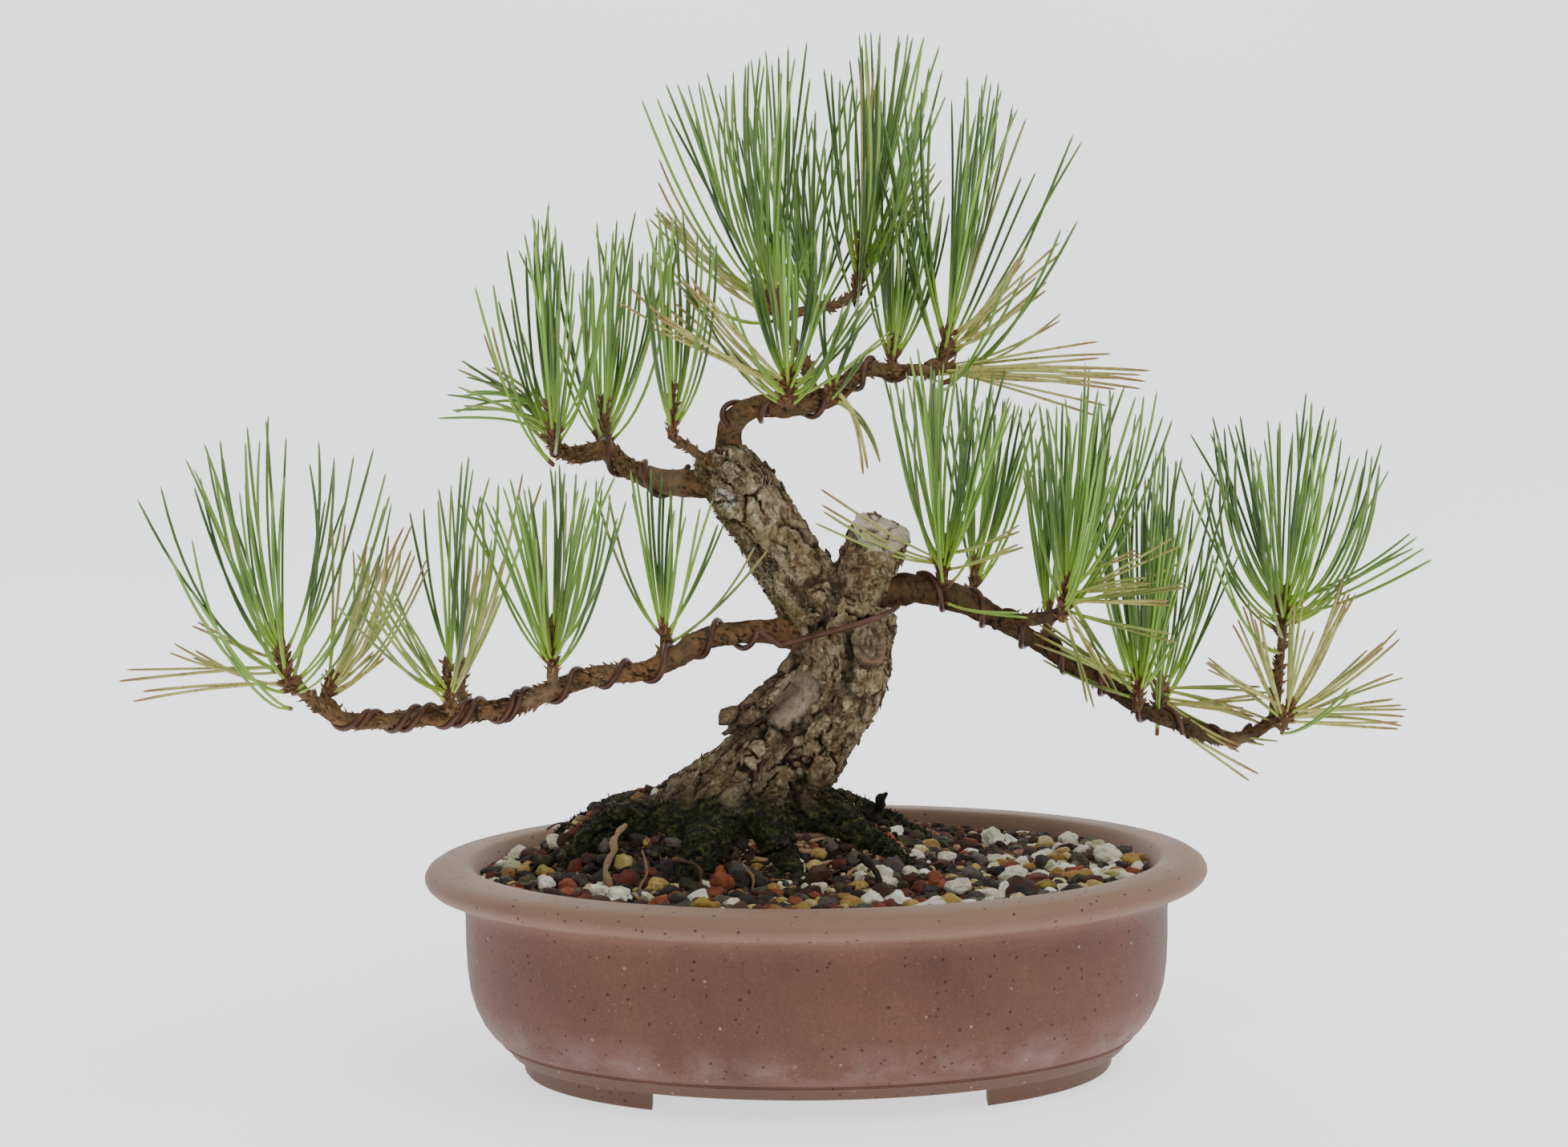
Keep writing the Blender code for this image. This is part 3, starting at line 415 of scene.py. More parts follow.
class PotSettings(bpy.types.PropertyGroup):
    lip_length: length("Lip Length", POT_HIGH.x - POT_LOW.x, "Outside of the lip along the pot")
    lip_depth: length("Lip Depth", POT_HIGH.y - POT_LOW.y, "Outside of the lip across the pot")
    height: length("Height", POT_HIGH.z, "Height of the pot on its feet")
    lip_width: length("Lip Width", 20 * MM, "From the outside of the lip to the mouth")
    foot_gap: length("Foot Gap", 136 * MM, "Gap between the two feet at the front and the back")
    clay: tint("Clay", (0.128, 0.056, 0.037), "Colour of the wall")
    lip_clay: tint("Lip Clay", (0.210, 0.112, 0.080), "Colour of the worn lip")
    speck: tint("Specks", (0.32, 0.23, 0.16), "Colour of the pale grains in the clay")


class SoilSettings(bpy.types.PropertyGroup):
    mound_height: length("Mound Height", 41 * MM, "Height of the mound under the tree")
    stones: amount("Stones", 4400, "Stones of the top dressing that are tried for a place")
    fines: amount("Fines", 6500, "Fine grains between the stones")
    largest: length("Largest Stone", 4.3 * MM, "Radius of the largest stones")
    smallest: length("Smallest Stone", 1.35 * MM, "Radius of the smallest stones")
    earth: tint("Earth", (0.030, 0.019, 0.013), "Colour of the earth between the stones")


class BarkSettings(bpy.types.PropertyGroup):
    voxel: length("Skin Detail", 0.90 * MM, "Size of the trunk's smallest facets")
    plate: length("Plate Size", 17 * MM, "Distance between the deep cracks of the old bark")
    flake: length("Flake Size", 4.4 * MM, "Width of the flakes that the plates are made of")
    crack: length("Crack Depth", 2.6 * MM, "Depth of the cracks of the old bark")
    scale: length("Scale Size", 3.0 * MM, "Distance between the scales of the branches")
    plate_colour: tint("Plates", (0.315, 0.245, 0.145), "Weathered face of the bark plates")
    under_colour: tint("Under Bark", (0.150, 0.092, 0.048), "Fresh bark under the plates")
    # The crack colour is painted shade: cracks, plate gaps and flake undersides are painted with
    # it.
    crack_shade: tint("Cracks", (0.018, 0.012, 0.008), "Deep inside the cracks")
    young_colour: tint("Young Bark", (0.122, 0.064, 0.028), "Scales of the branches")


class NeedleSettings(bpy.types.PropertyGroup):
    radius: length("Radius", 0.68 * MM, "Half the width of a needle")
    density: share("Density", 0.55, "Share of the most needles that a shoot bears", 3.0)
    fresh: tint("Fresh", (0.340, 0.530, 0.055), "Base of a young needle")
    green: tint("Green", (0.135, 0.245, 0.034), "Most of a young needle")
    deep: tint("Deep", (0.042, 0.092, 0.016), "Shaded young needles")
    old: tint("Old", (0.500, 0.460, 0.140), "Needles of the year before last")
    dry: tint("Dry", (0.250, 0.125, 0.045), "Tips and spots of old needles")


class WireSettings(bpy.types.PropertyGroup):
    gauge: length("Gauge", 2.5 * MM, "Thickness of the training wire")
    pitch: length("Pitch", 21 * MM, "Advance of the winding for each turn")
    colour: tint("Wire", (0.088, 0.036, 0.021), "Anodised brown of the wire")


class StageSettings(bpy.types.PropertyGroup):
    floor: tint("Floor", (0.80, 0.81, 0.83), "Pale cloth under and behind the pot")
    softbox: bpy.props.FloatProperty(name="Softbox", default=34.0, min=0.0, unit="POWER",
                                     description="Power of the overhead softbox")
    # The glow is the cloth's own emission: painted light, with no lamp behind the cloth.
    glow: bpy.props.FloatProperty(name="Glow", default=1.45, min=0.0, subtype="FACTOR",
                                  description="Light that shines through the cloth")
    fill: bpy.props.FloatProperty(name="Fill", default=5.0, min=0.0, unit="POWER",
                                  description="Power of the fill light at the front")


# ---- ground --------------------------------------------------------------------------------
MOUND_AT = (-25 * MM, 12 * MM)
# Half the length and depth of the pot's mouth, and of the box that loose grains are drawn in (mm).
MOUTH, GRAINS = (141.5 * MM, 105.0 * MM), (142, 105)


def ground(x, y, detail=True):
    """The height of the soil at points: level near the rim, with a mound under the tree."""
    x, y = np.asarray(x, float), np.asarray(y, float)
    dx, dy = x - MOUND_AT[0], y - MOUND_AT[1]
    sx = np.where(dx < 0, 62 * MM, 40 * MM)
    sy = np.where(dy < 0, 25 * MM, 30 * MM)
    high = bpy.context.scene.bonsai_soil.mound_height
    hill = np.exp(-0.5 * ((dx / sx) ** 2 + (dy / sy) ** 2))
    hill = hill * (0.15 + 0.85 * ease(0.95, 0.66, np.hypot(x / (141 * MM), y / (105 * MM))))
    z = SOIL_LEVEL + high * hill
    if detail:
        flat = np.stack([x, y, np.zeros_like(x)], axis=-1).reshape(-1, 3)
        lumps = layered(flat, 16 * MM, 3, 5).reshape(x.shape)
        z = z + lumps * (1.0 * MM + 3.2 * MM * np.clip(hill * 1.6, 0, 1))
    return z


def mound_share(x, y):
    """How much a place belongs to the mound, from 0 at the rim to 1 at the tree."""
    return np.clip((ground(x, y, False) - SOIL_LEVEL) / (10 * MM), 0, 1)


# ---- pot -----------------------------------------------------------------------------------
# The pot's outline in parts: inset and height in millimetres, and for the wall a share of the
# pot's height.
LIP_TURN = [(7, -0.4), (4, -1.2), (1.6, -2.8), (0.3, -5), (0.2, -6.8), (1.2, -8.8), (3, -10.4),
            (6, -11.6), (9.5, -12.6), (12.6, -13.8), (15, -15.8), (16.4, -18.4)]
WALL_TURN = [(0, 0.62), (0.4, 0.5), (1.4, 0.4), (3.4, 0.32), (6.4, 0.25), (9.6, 0.20),
             (12.4, 0.172)]
RING_TURN = [(-2.4, 7.0), (-2.6, 5.8), (-1.2, 5.2), (-0.4, 4.6), (1.6, 1.2), (2.4, 0.4),
             (4.4, 0.1)]
FOOT_RISE, FOOT_INSET, FLOOR_TOP = 8 * MM, 40 * MM, 17.5 * MM
# Place along the pot and radius of the drain holes and of the holes for the anchor wire.
HOLES = millimetres([(-60, 12), (60, 12), (-18, 3), (18, 3)])


def pot_profile(pot):
    """(inset from the lip, height) from the mouth over the lip and down to the feet."""
    top, lip, foot, base = pot.height, pot.lip_width, FOOT_RISE, FOOT_INSET
    wall, ring = lip - 3 * MM, base - 7 * MM
    points = [(lip - 2 * MM, top), (lip - 6 * MM, top)]
    points += [(inset * MM, top + z * MM) for inset, z in LIP_TURN]
    points += [(wall, top - 22 * MM)]
    points += [(wall + inset * MM, top * part) for inset, part in WALL_TURN]
    points += [(ring + inset * MM, foot + z * MM) for inset, z in RING_TURN]
    return points + [(base - 1.2 * MM, foot - 0.6 * MM), (base - 0.2 * MM, foot - 1.8 * MM),
                     (base + 0.4 * MM, 1.2 * MM), (base + 1.2 * MM, 0)]


def pot_cavity(pot):
    """(inset from the lip, height) from the pot's floor up its inner wall to the mouth."""
    top, lip = pot.height, pot.lip_width
    wall = lip + 6 * MM
    return [(wall + 15 * MM, FLOOR_TOP), (wall + 8 * MM, FLOOR_TOP + 4 * MM),
            (wall + 4 * MM, FLOOR_TOP + 12 * MM), (wall + 1.5 * MM, top * 0.45),
            (wall, top - 10 * MM), (lip + 2.4 * MM, top - 5 * MM),
            (lip + 0.4 * MM, top - 2.2 * MM), (lip - 0.8 * MM, top - 0.6 * MM)]


def make_pot(pot):
    """The fired pot: a turned oval, cut for its feet and holes, and a little uneven by hand."""
    sides, base = 192, FOOT_INSET
    profile = [*pot_profile(pot), (base + 12 * MM, 0), (base + 13 * MM, 1.2 * MM),
               (base + 14 * MM, 9.5 * MM)]
    turn = round_turn(sides)
    rings = []
    for inset, z in [*profile, *pot_cavity(pot)]:
        a, b = pot.lip_length / 2 - inset, pot.lip_depth / 2 - inset
        ring = np.stack([a * np.cos(turn), b * np.sin(turn), np.full(sides, z)], axis=1)
        rings.append(ring)
    verts = np.concatenate(rings)
    count, outer = len(rings), len(profile)
    j = np.arange(sides)
    n = (j + 1) % sides
    quads = []
    for k in [k for k in range(count) if k != outer - 1]:
        one, two = k * sides, ((k + 1) % count) * sides
        quads.append(np.stack([one + j, two + j, two + n, one + n], axis=1))
    mesh = bpy.data.meshes.new("pot_clay")
    caps = [list(range((outer - 1) * sides, outer * sides)),
            list(range(outer * sides + sides - 1, outer * sides - 1, -1))]
    mesh.from_pydata(verts.tolist(), [], [*np.concatenate(quads).tolist(), *caps])
    made = piece("pot_clay", mesh, clay_look(pot), ("pot",))
    cutters = [box_cutter("foot_gap", (pot.foot_gap, pot.lip_depth * 2, 16 * MM))]
    cutters += [hole_cutter(x, radius, FLOOR_TOP + 20 * MM) for x, radius in HOLES]
    for cutter in cutters:
        cut = made.modifiers.new("Cut", "BOOLEAN")
        cut.object, cut.solver, cut.operation = cutter, "EXACT", "DIFFERENCE"
    apply_all(made)
    for cutter in cutters:
        bpy.data.objects.remove(cutter, do_unlink=True)
    mesh = made.data
    co = point_array(mesh)
    hand = noise(co, 70 * MM, 3) * 0.35 * MM + noise(co, 22 * MM, 4) * 0.12 * MM
    out = np.stack([co[:, 0], co[:, 1], np.zeros(len(co))], axis=1)
    out /= np.maximum(np.linalg.norm(out, axis=1, keepdims=True), 1e-6)
    above = ease(9 * MM, 20 * MM, co[:, 2])
    put_points(mesh, co + out * (hand * above)[:, None])
    mesh.shade_smooth()
    mesh.set_sharp_from_angle(angle=math.radians(42))
    return made


def apply_all(obj):
    graph = bpy.context.evaluated_depsgraph_get()
    mesh = bpy.data.meshes.new_from_object(obj.evaluated_get(graph))
    obj.modifiers.clear()
    obj.data = mesh


def box_cutter(name, size):
    bm = bmesh.new()
    bmesh.ops.create_cube(bm, size=1.0)
    bmesh.ops.scale(bm, vec=size, verts=bm.verts)
    return loose(name, bm)


def hole_cutter(x, radius, height):
    bm = bmesh.new()
    bmesh.ops.create_cone(bm, cap_ends=True, segments=48, radius1=radius, radius2=radius,
                          depth=height * 2)
    bmesh.ops.translate(bm, vec=(x, 0, 0), verts=bm.verts)
    return loose("hole", bm)


def loose(name, bm):
    mesh = bpy.data.meshes.new(name)
    bm.to_mesh(mesh)
    bm.free()
    return linked(name, mesh)


def clay_look(pot):
    """Unglazed clay: mottled brown with pits painted dark as shade, pale grains and a bloom above
    the foot ring.
    """
    look = Look("unglazed_clay", 0.62, Specular_IOR_Level=0.22)
    clay, lip = tuple(pot.clay), tuple(pot.lip_clay)
    cloud = look.noise(48 * MM, 4, 0.6)
    grain = look.noise(1.6 * MM, 5, 0.75)
    deep = scaled(clay, 0.72)
    light = scaled(clay, 1.22)
    body = look.ramp(cloud, (0.28, deep), (0.5, clay), (0.74, light))
    body = look.blend(0.55, body, look.ramp(grain, (0.25, 0.30), (0.75, 0.72)), "OVERLAY")
    z = look.axis("Z")
    top = pot.height
    on_lip = look.range(z, top - 17 * MM, top - 9 * MM)
    worn = look.blend(look.range(cloud, 0.3, 0.7, 0.15, 0.6), lip, (0.28, 0.180, 0.120))
    # From here worn also carries a painted highlight: the lip's flat top is painted lighter, where
    # the overhead light falls.
    level = look.range(z, top - 5 * MM, top - 1 * MM)
    worn = look.coat(worn, (0.32, 0.215, 0.135), level, 0.7)
    body = look.coat(body, worn, on_lip, 0.75)
    bloom = look.times(look.range(z, 13 * MM, 22 * MM), look.range(z, 36 * MM, 20 * MM))
    bloom = look.times(bloom, look.range(look.noise(20 * MM, 4, 0.65), 0.42, 0.7))
    body = look.coat(body, (0.30, 0.225, 0.20), bloom, 0.45)
    ring = look.range(z, 15 * MM, 12 * MM)
    body = look.coat(body, (0.110, 0.066, 0.044), ring, 0.6)
    # The pits are dented by the bump and painted near black: painted shade inside them.
    pit = look.dots(3.4 * MM, (0.23, 0.13), (0.62, 0.66))
    body = look.coat(body, (0.035, 0.018, 0.012), pit, 0.85)
    speck = look.dots(5.6 * MM, (0.14, 0.08), (0.72, 0.74))
    body = look.coat(body, tuple(pot.speck), speck, 0.9)
    fleck = look.dots(1.5 * MM, (0.25, 0.12), (0.80, 0.82))
    body = look.coat(body, (0.40, 0.29, 0.20), fleck, 0.45)
    rough = look.range(cloud, 0.3, 0.7, 0.50, 0.68)
    height = look.maths("SUBTRACT", look.times(grain, 0.5), pit)
    height = look.plus(height, look.times(speck, 0.4))
    return look.finish(body, rough, height, 0.35 * MM, 0.7)


class BONSAI_OT_pot(bpy.types.Operator):
    """Build the oval clay pot on its two feet"""

    bl_idname = "bonsai.pot"
    bl_label = "Pot"

    def execute(self, context):
        make_pot(context.scene.bonsai_pot)
        return {"FINISHED"}


# ---- drainage ------------------------------------------------------------------------------
def net_look():
    look = Look("black_net", 0.5)
    fine = look.noise(0.8 * MM, 3)
    colour = look.ramp(fine, (0.3, (0.012, 0.012, 0.013)), (0.7, (0.035, 0.034, 0.032)))
    return look.finish(colour, None, fine, 0.05 * MM)


class BONSAI_OT_drainage(bpy.types.Operator):
    """Finish the nets over the drain holes, their clips and the wire that anchors the tree"""

    bl_idname = "bonsai.drainage"
    bl_label = "Drainage"

    def execute(self, context):
        net, copper = net_look(), wire_look(context.scene.bonsai_wire)
        for name, look in (("drain_net_left", net), ("drain_net_right", net),
                           ("net_clip_left", copper), ("net_clip_right", copper),
                           ("anchor_wire", copper)):
            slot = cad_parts[name].material_slots[0]
            slot.link = "OBJECT"
            slot.material = look
        return {"FINISHED"}


# ---- stones and earth ----------------------------------------------------------------------
def unit_stone(detail, rough, seed, square=0.0):
    """The points and triangles of a lump of radius 1."""
    bm = bmesh.new()
    bmesh.ops.create_icosphere(bm, subdivisions=detail, radius=1.0)
    co = np.array([v.co for v in bm.verts])
    tris = np.array([[v.index for v in f.verts] for f in bm.faces])
    bm.free()
    if square:
        co = co / np.max(np.abs(co), axis=1, keepdims=True) * square + co * (1 - square)
    lump = layered(co, 0.9, 2, seed) * rough + layered(co, 0.3, 2, seed + 50) * rough * 0.4
    return co * (1 + lump)[:, None], tris


def turned(rng, count):
    """Random rotation matrices."""
    q = rng.normal(size=(count, 4))
    w, x, y, z = unit(q).T
    rows = [[1 - 2 * (y * y + z * z), 2 * (x * y - z * w), 2 * (x * z + y * w)],
            [2 * (x * y + z * w), 1 - 2 * (x * x + z * z), 2 * (y * z - x * w)],
            [2 * (x * z - y * w), 2 * (y * z + x * w), 1 - 2 * (x * x + y * y)]]
    return np.array(rows).transpose(2, 0, 1)


def heap(name, places, sizes, forms, look, rng, detail=2, rough=0.25, square=0.0,
         stands_for=()):
    """Many stones as one piece, each with its own shape, size, turn and tone."""
    models = [unit_stone(detail, rough, 7 * k + len(name), square) for k in range(5)]
    which = rng.integers(0, len(models), len(places))
    spins = turned(rng, len(places))
    stretch = 1 + (rng.random((len(places), 3)) - 0.5) * forms
    tones = rng.random(len(places))
    verts, tris, tone, at = [], [], [], 0
    for k, place in enumerate(places):
        co, faces = models[which[k]]
        body = (co * stretch[k]) @ spins[k].T
        body[:, 2] *= 0.82
        verts.append(body * sizes[k] + place)
        tris.append(faces + at)
        tone.append(np.full(len(co), tones[k]))
        at += len(co)
    mesh = mesh_of(name, np.concatenate(verts), [], np.concatenate(tris),
                   {"tone": np.concatenate(tone)})
    mesh.set_sharp_from_angle(angle=math.radians(48))
    return piece(name, mesh, look, stands_for)


# Each kind of stone: its colours from one stone to the next, size of its pores (mm), how much
# green bloom it has, and its roughness.
STONES = {
    "pumice": ([(0.0, (0.50, 0.46, 0.34)), (0.5, (0.66, 0.62, 0.50)), (1.0, (0.78, 0.76, 0.68))],
               0.9, 0.55, 0.9),
    "ochre_pebble": ([(0.0, (0.16, 0.075, 0.018)), (0.4, (0.30, 0.165, 0.042)),
                      (0.75, (0.36, 0.26, 0.09)), (1.0, (0.50, 0.41, 0.20))], 1.4, 0.45, 0.8),
    "scoria": ([(0.0, (0.013, 0.010, 0.009)), (0.6, (0.038, 0.030, 0.027)),
                (1.0, (0.105, 0.088, 0.078))], 0.7, 0.15, 0.9),
    "lava": ([(0.0, (0.040, 0.014, 0.010)), (0.5, (0.125, 0.032, 0.016)),
              (1.0, (0.26, 0.072, 0.030))], 0.7, 0.0, 0.9),
    "bark_bit": ([(0.0, (0.022, 0.010, 0.007)), (1.0, (0.095, 0.045, 0.025))], 0.5, 0.0, 0.9),
    "dark_crumb": ([(0.0, (0.012, 0.008, 0.006)), (0.55, (0.042, 0.023, 0.015)),
                    (0.78, (0.085, 0.040, 0.024)), (0.88, (0.19, 0.060, 0.028)),
                    (1.0, (0.36, 0.24, 0.13))], 0.6, 0.0, 0.9),
    "fine_grit": ([(0.0, (0.018, 0.011, 0.008)), (0.45, (0.052, 0.025, 0.016)),
                   (0.60, (0.14, 0.036, 0.018)), (0.66, (0.05, 0.042, 0.04)),
                   (0.84, (0.085, 0.065, 0.05)), (0.93, (0.28, 0.17, 0.05)),
                   (1.0, (0.50, 0.44, 0.32))], 0.8, 0.0, 0.9),
}
# The top dressing: piece, kind of stone, unevenness of its forms, detail, lumps, squareness, slot.
DRESSING = [("pumice_grit", "pumice", 0.8, 3, 0.56, 0.3, "pumice"),
            ("ochre_pebbles", "ochre_pebble", 0.6, 3, 0.26, 0.3, "soil_mix"),
            ("scoria_grit", "scoria", 0.6, 3, 0.46, 0.35, "soil_mix"),
            ("lava_grit", "lava", 0.6, 3, 0.48, 0.35, "soil_mix"),
            ("bark_bits", "bark_bit", 1.3, 2, 0.2, 0.8, "soil_mix")]


def stone_look(name):
    """Stone whose colour runs through its stops from one stone to the next."""
    stops, pit, green, roughness = STONES[name]
    look = Look(name, roughness, Specular_IOR_Level=0.3)
    tone = look.plus(look.value("tone"), look.range(look.noise(5 * MM), 0.3, 0.7, -0.12, 0.12))
    colour = look.ramp(tone, *stops)
    pores = look.noise(pit * MM, 4, 0.7)
    colour = look.blend(0.8, colour, look.ramp(pores, (0.34, 0.22), (0.60, 0.62)), "OVERLAY")
    if green:
        patch = look.range(look.noise(9 * MM, 3, 0.6), 0.50, 0.64)
        colour = look.blend(look.times(patch, green), colour, (0.28, 0.30, 0.035))
    return look.finish(colour, None, pores, 0.5 * MM, 0.8)


def rim_room(x, y, room):
    """Whether points lie inside the pot's mouth with that much room to the clay."""
    a, b = MOUTH[0] - room, MOUTH[1] - room
    return (x / a) ** 2 + (y / b) ** 2 < 1


# Ovals that are bare of stones: middle and half size (mm).
DARK_PATCHES = [(-40, 22, 82, 58), (62, 78, 62, 26), (74, 20, 20, 14)]


def in_dark_earth(x, y):
    """How bare of stones the ground is: all round the tree's foot, and at the back on the right."""
    reach = [np.hypot((x - at_x * MM) / (long * MM), (y - at_y * MM) / (deep * MM))
             for at_x, at_y, long, deep in DARK_PATCHES]
    return ease(1.12, 0.80, np.minimum.reduce(reach))


def scatter_stones(soil, rng):
    """Places and radii of the top dressing's stones, largest first, none deep in another."""
    radii = soil.smallest + (soil.largest - soil.smallest) * rng.random(soil.stones) ** 3.3
    radii = np.sort(radii)[::-1]
    kept = np.zeros((0, 3))
    for radius in radii:
        for _ in range(14):
            x, y = (rng.uniform(-span, span) * MM for span in GRAINS)
            if not rim_room(x, y, radius) or in_dark_earth(x, y) > rng.uniform(0.1, 1.1):
                continue
            gap = np.hypot(kept[:, 0] - x, kept[:, 1] - y) - (kept[:, 2] + radius) * 0.84
            if len(kept) == 0 or gap.min() > 0:
                kept = np.vstack([kept, (x, y, radius)])
                break
    return kept


CAD_STONES = ("pumice_front", "pumice_front_left", "pumice_left_front", "pumice_left_rim",
              "pumice_right", "pumice_right_back", "pumice_right_front", "pumice_right_rim")


def make_stones(soil):
    """The top dressing: the large pumice stones, then each kind in a coarse and a small size."""
    rng = np.random.default_rng(4)
    looks = {name: stone_look(name) for _, name, *_ in DRESSING}
    boxes = [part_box(node) for node in CAD_STONES]
    large = [(low + high) / 2 for low, high in boxes]
    sizes = [(high - low).length * 0.27 for low, high in boxes]
    rest = [(p.x, p.y, min(p.z - 0.8 * MM, ground(p.x, p.y) + size * 0.75))
            for p, size in zip(large, sizes)]
    heap("pumice_large", np.array(rest), sizes, 0.5, looks["pumice"], rng, 4, 0.42,
         0.2, CAD_STONES)
    kept = scatter_stones(soil, rng)
    free = np.ones(len(kept), bool)
    for place, size in zip(large, sizes):
        free &= np.hypot(kept[:, 0] - place.x, kept[:, 1] - place.y) > kept[:, 2] * 0.8 + size
    kept = kept[free]
    lift = kept[:, 2] * rng.uniform(0.0, 0.65, len(kept))
    places = np.stack([kept[:, 0], kept[:, 1], ground(kept[:, 0], kept[:, 1]) + lift], axis=1)
    chance = rng.random(len(kept))
    big = kept[:, 2] > 2.9 * MM
    pale = np.where(kept[:, 0] > 15 * MM, 0.27, 0.16)
    kinds = np.where(big, np.select([chance < pale, chance < pale + 0.24, chance < 0.80],
                                    [0, 1, 2], 3),
                     np.select([chance < 0.07, chance < 0.30, chance < 0.68], [0, 1, 2], 3))
    kinds = np.where(rng.random(len(kept)) < 0.09, 4, kinds)
    for number, (name, kind, forms, detail, rough, square, slot) in enumerate(DRESSING):
        large = kept[:, 2] > 2.2 * MM
        for title, own, fine in ((name, large, detail), (name + "_small", ~large, 2)):
            own = own & (kinds == number)
            heap(title, places[own], kept[own, 2], forms, looks[kind], rng, fine, rough,
                 square)
    make_fines(soil, rng)
    make_clods(rng)


CRUMBS = 2200


def make_clods(rng):
    """Crumbs of dark earth and rotted bark on the mound and in the bare places."""
    x, y = (rng.uniform(-span, span, 9000) * MM for span in GRAINS)
    here = rim_room(x, y, 4 * MM) & (in_dark_earth(x, y) > rng.uniform(0.3, 0.9, len(x)))
    x, y = x[here][:CRUMBS], y[here][:CRUMBS]
    sizes = (0.9 + 2.0 * rng.random(len(x)) ** 2) * MM
    places = np.stack([x, y, ground(x, y) + sizes * rng.uniform(0.3, 1.1, len(x))], axis=1)
    heap("dark_crumbs", places, sizes, 0.8, stone_look("dark_crumb"), rng, 2, 0.45)


def make_fines(soil, rng):
    """The small grains that fill the gaps between the stones and lie on the mound."""
    x, y = rng.uniform(-GRAINS[0], GRAINS[0], (2, soil.fines * 2)) * MM
    y *= GRAINS[1] / GRAINS[0]
    inside = rim_room(x, y, 1.5 * MM) & (in_dark_earth(x, y) < rng.uniform(0.2, 2.2, len(x)))
    x, y = x[inside][: soil.fines], y[inside][: soil.fines]
    sizes = rng.uniform(0.8, 2.0, len(x)) * MM
    places = np.stack([x, y, ground(x, y) + sizes * rng.uniform(0.1, 1.2, len(x))], axis=1)
    heap("fine_grit", places, sizes, 0.7, stone_look("fine_grit"), rng, 1, 0.3, 0.2)


def earth_look(soil):
    """Dark damp earth with fibres and crumbs."""
    look = Look("earth", 0.95, Specular_IOR_Level=0.2)
    crumbs = look.noise(2.6 * MM, 5, 0.7)
    earth = tuple(soil.earth)
    colour = look.ramp(crumbs, (0.30, scaled(earth, 0.3)), (0.52, earth),
                       (0.72, scaled(earth, 2.6)))
    rust = look.range(look.noise(6 * MM, 3, 0.6), 0.56, 0.70)
    colour = look.coat(colour, (0.115, 0.042, 0.018), rust, 0.5)
    mossy = look.times(look.range(look.axis("Z"), 96 * MM, 112 * MM),
                       look.range(look.noise(12 * MM, 4, 0.6), 0.42, 0.60))
    colour = look.coat(colour, (0.030, 0.036, 0.010), mossy, 0.7)
    return look.finish(colour, None, crumbs, 1.2 * MM)


def make_earth(soil):
    """The body of soil in the pot: its rough top, its wall and its flat underside."""
    sides, rings = 260, 110
    share_out = np.linspace(1, 0.004, rings)
    turn = round_turn(sides)
    a, b = SOIL_HIGH.x, SOIL_HIGH.y
    x = share_out[:, None] * a * np.cos(turn) + (1 - share_out[:, None]) * MOUND_AT[0]
    y = share_out[:, None] * b * np.sin(turn) + (1 - share_out[:, None]) * MOUND_AT[1]
    z = ground(x, y)
    fine = np.stack([x, y, z], axis=-1).reshape(-1, 3)
    fine[:, 2] += layered(fine, 4 * MM, 3, 9) * 0.9 * MM
    low_a, low_b = a - 15 * MM, b - 15 * MM
    wall = np.stack([low_a * np.cos(turn), low_b * np.sin(turn), np.full(sides, SOIL_LOW.z)], 1)
    verts = np.concatenate([wall, fine])
    count = rings + 1
    i, j = np.meshgrid(np.arange(count - 1), np.arange(sides), indexing="ij")
    p, q = i * sides + j, i * sides + (j + 1) % sides
    quads = np.stack([p, q, q + sides, p + sides], axis=-1).reshape(-1, 4)
    mesh = bpy.data.meshes.new("earth")
    caps = [list(range(sides - 1, -1, -1)), list(range((count - 1) * sides, count * sides))]
    mesh.from_pydata(verts.tolist(), [], [*quads.tolist(), *caps])
    mesh.shade_smooth()
    piece("earth", mesh, earth_look(soil), ("soil_mix",))


class BONSAI_OT_soil(bpy.types.Operator):
    """Fill the pot with earth and dress it with pumice, lava, scoria, pebbles and bark bits"""

    bl_idname = "bonsai.soil"
    bl_label = "Soil"

    def execute(self, context):
        make_earth(context.scene.bonsai_soil)
        make_stones(context.scene.bonsai_soil)
        return {"FINISHED"}


# ---- trunk ---------------------------------------------------------------------------------
# Every wood point is x, y, z and radius in millimetres.
TRUNK = [(-49, 7, 74, 42), (-47, 7, 92, 33), (-39, 5, 106.5, 26.5), (-28, 4, 116, 24),
         (-15, 3, 129, 22), (-3, 2, 146.5, 17.8), (8, 1, 159, 19.5), (12.5, 0, 172, 21),
         (9.5, 0, 186, 20.5), (-2, 0, 203.5, 15), (-15, 0, 223.5, 14.6), (-28, 0, 244, 14.6),
         (-36, 0, 255, 12.8), (-39, 0, 260, 11), (-40, 0, 262, 9)]
STUB = [(13, -1, 188, 12), (20.5, 1, 206, 12.4), (28, 3, 224, 12.2), (31.5, 4, 232, 12)]
MUSCLE = [(18, -5, 176, 15), (16, -8, 164, 14.5), (8, -9, 150, 14), (1, -8, 136, 13),
          (-4, -6, 124, 12)]
KNOT = [(24, -6, 184, 13.5), (25.5, -8, 183, 13)]
FLAP = [(-3, -5, 175, 4), (-8, -7, 169, 10), (-14.5, -8, 162.8, 13), (-23, -9, 154.5, 13),
        (-31, -9, 148.5, 9), (-36, -9, 146, 3)]
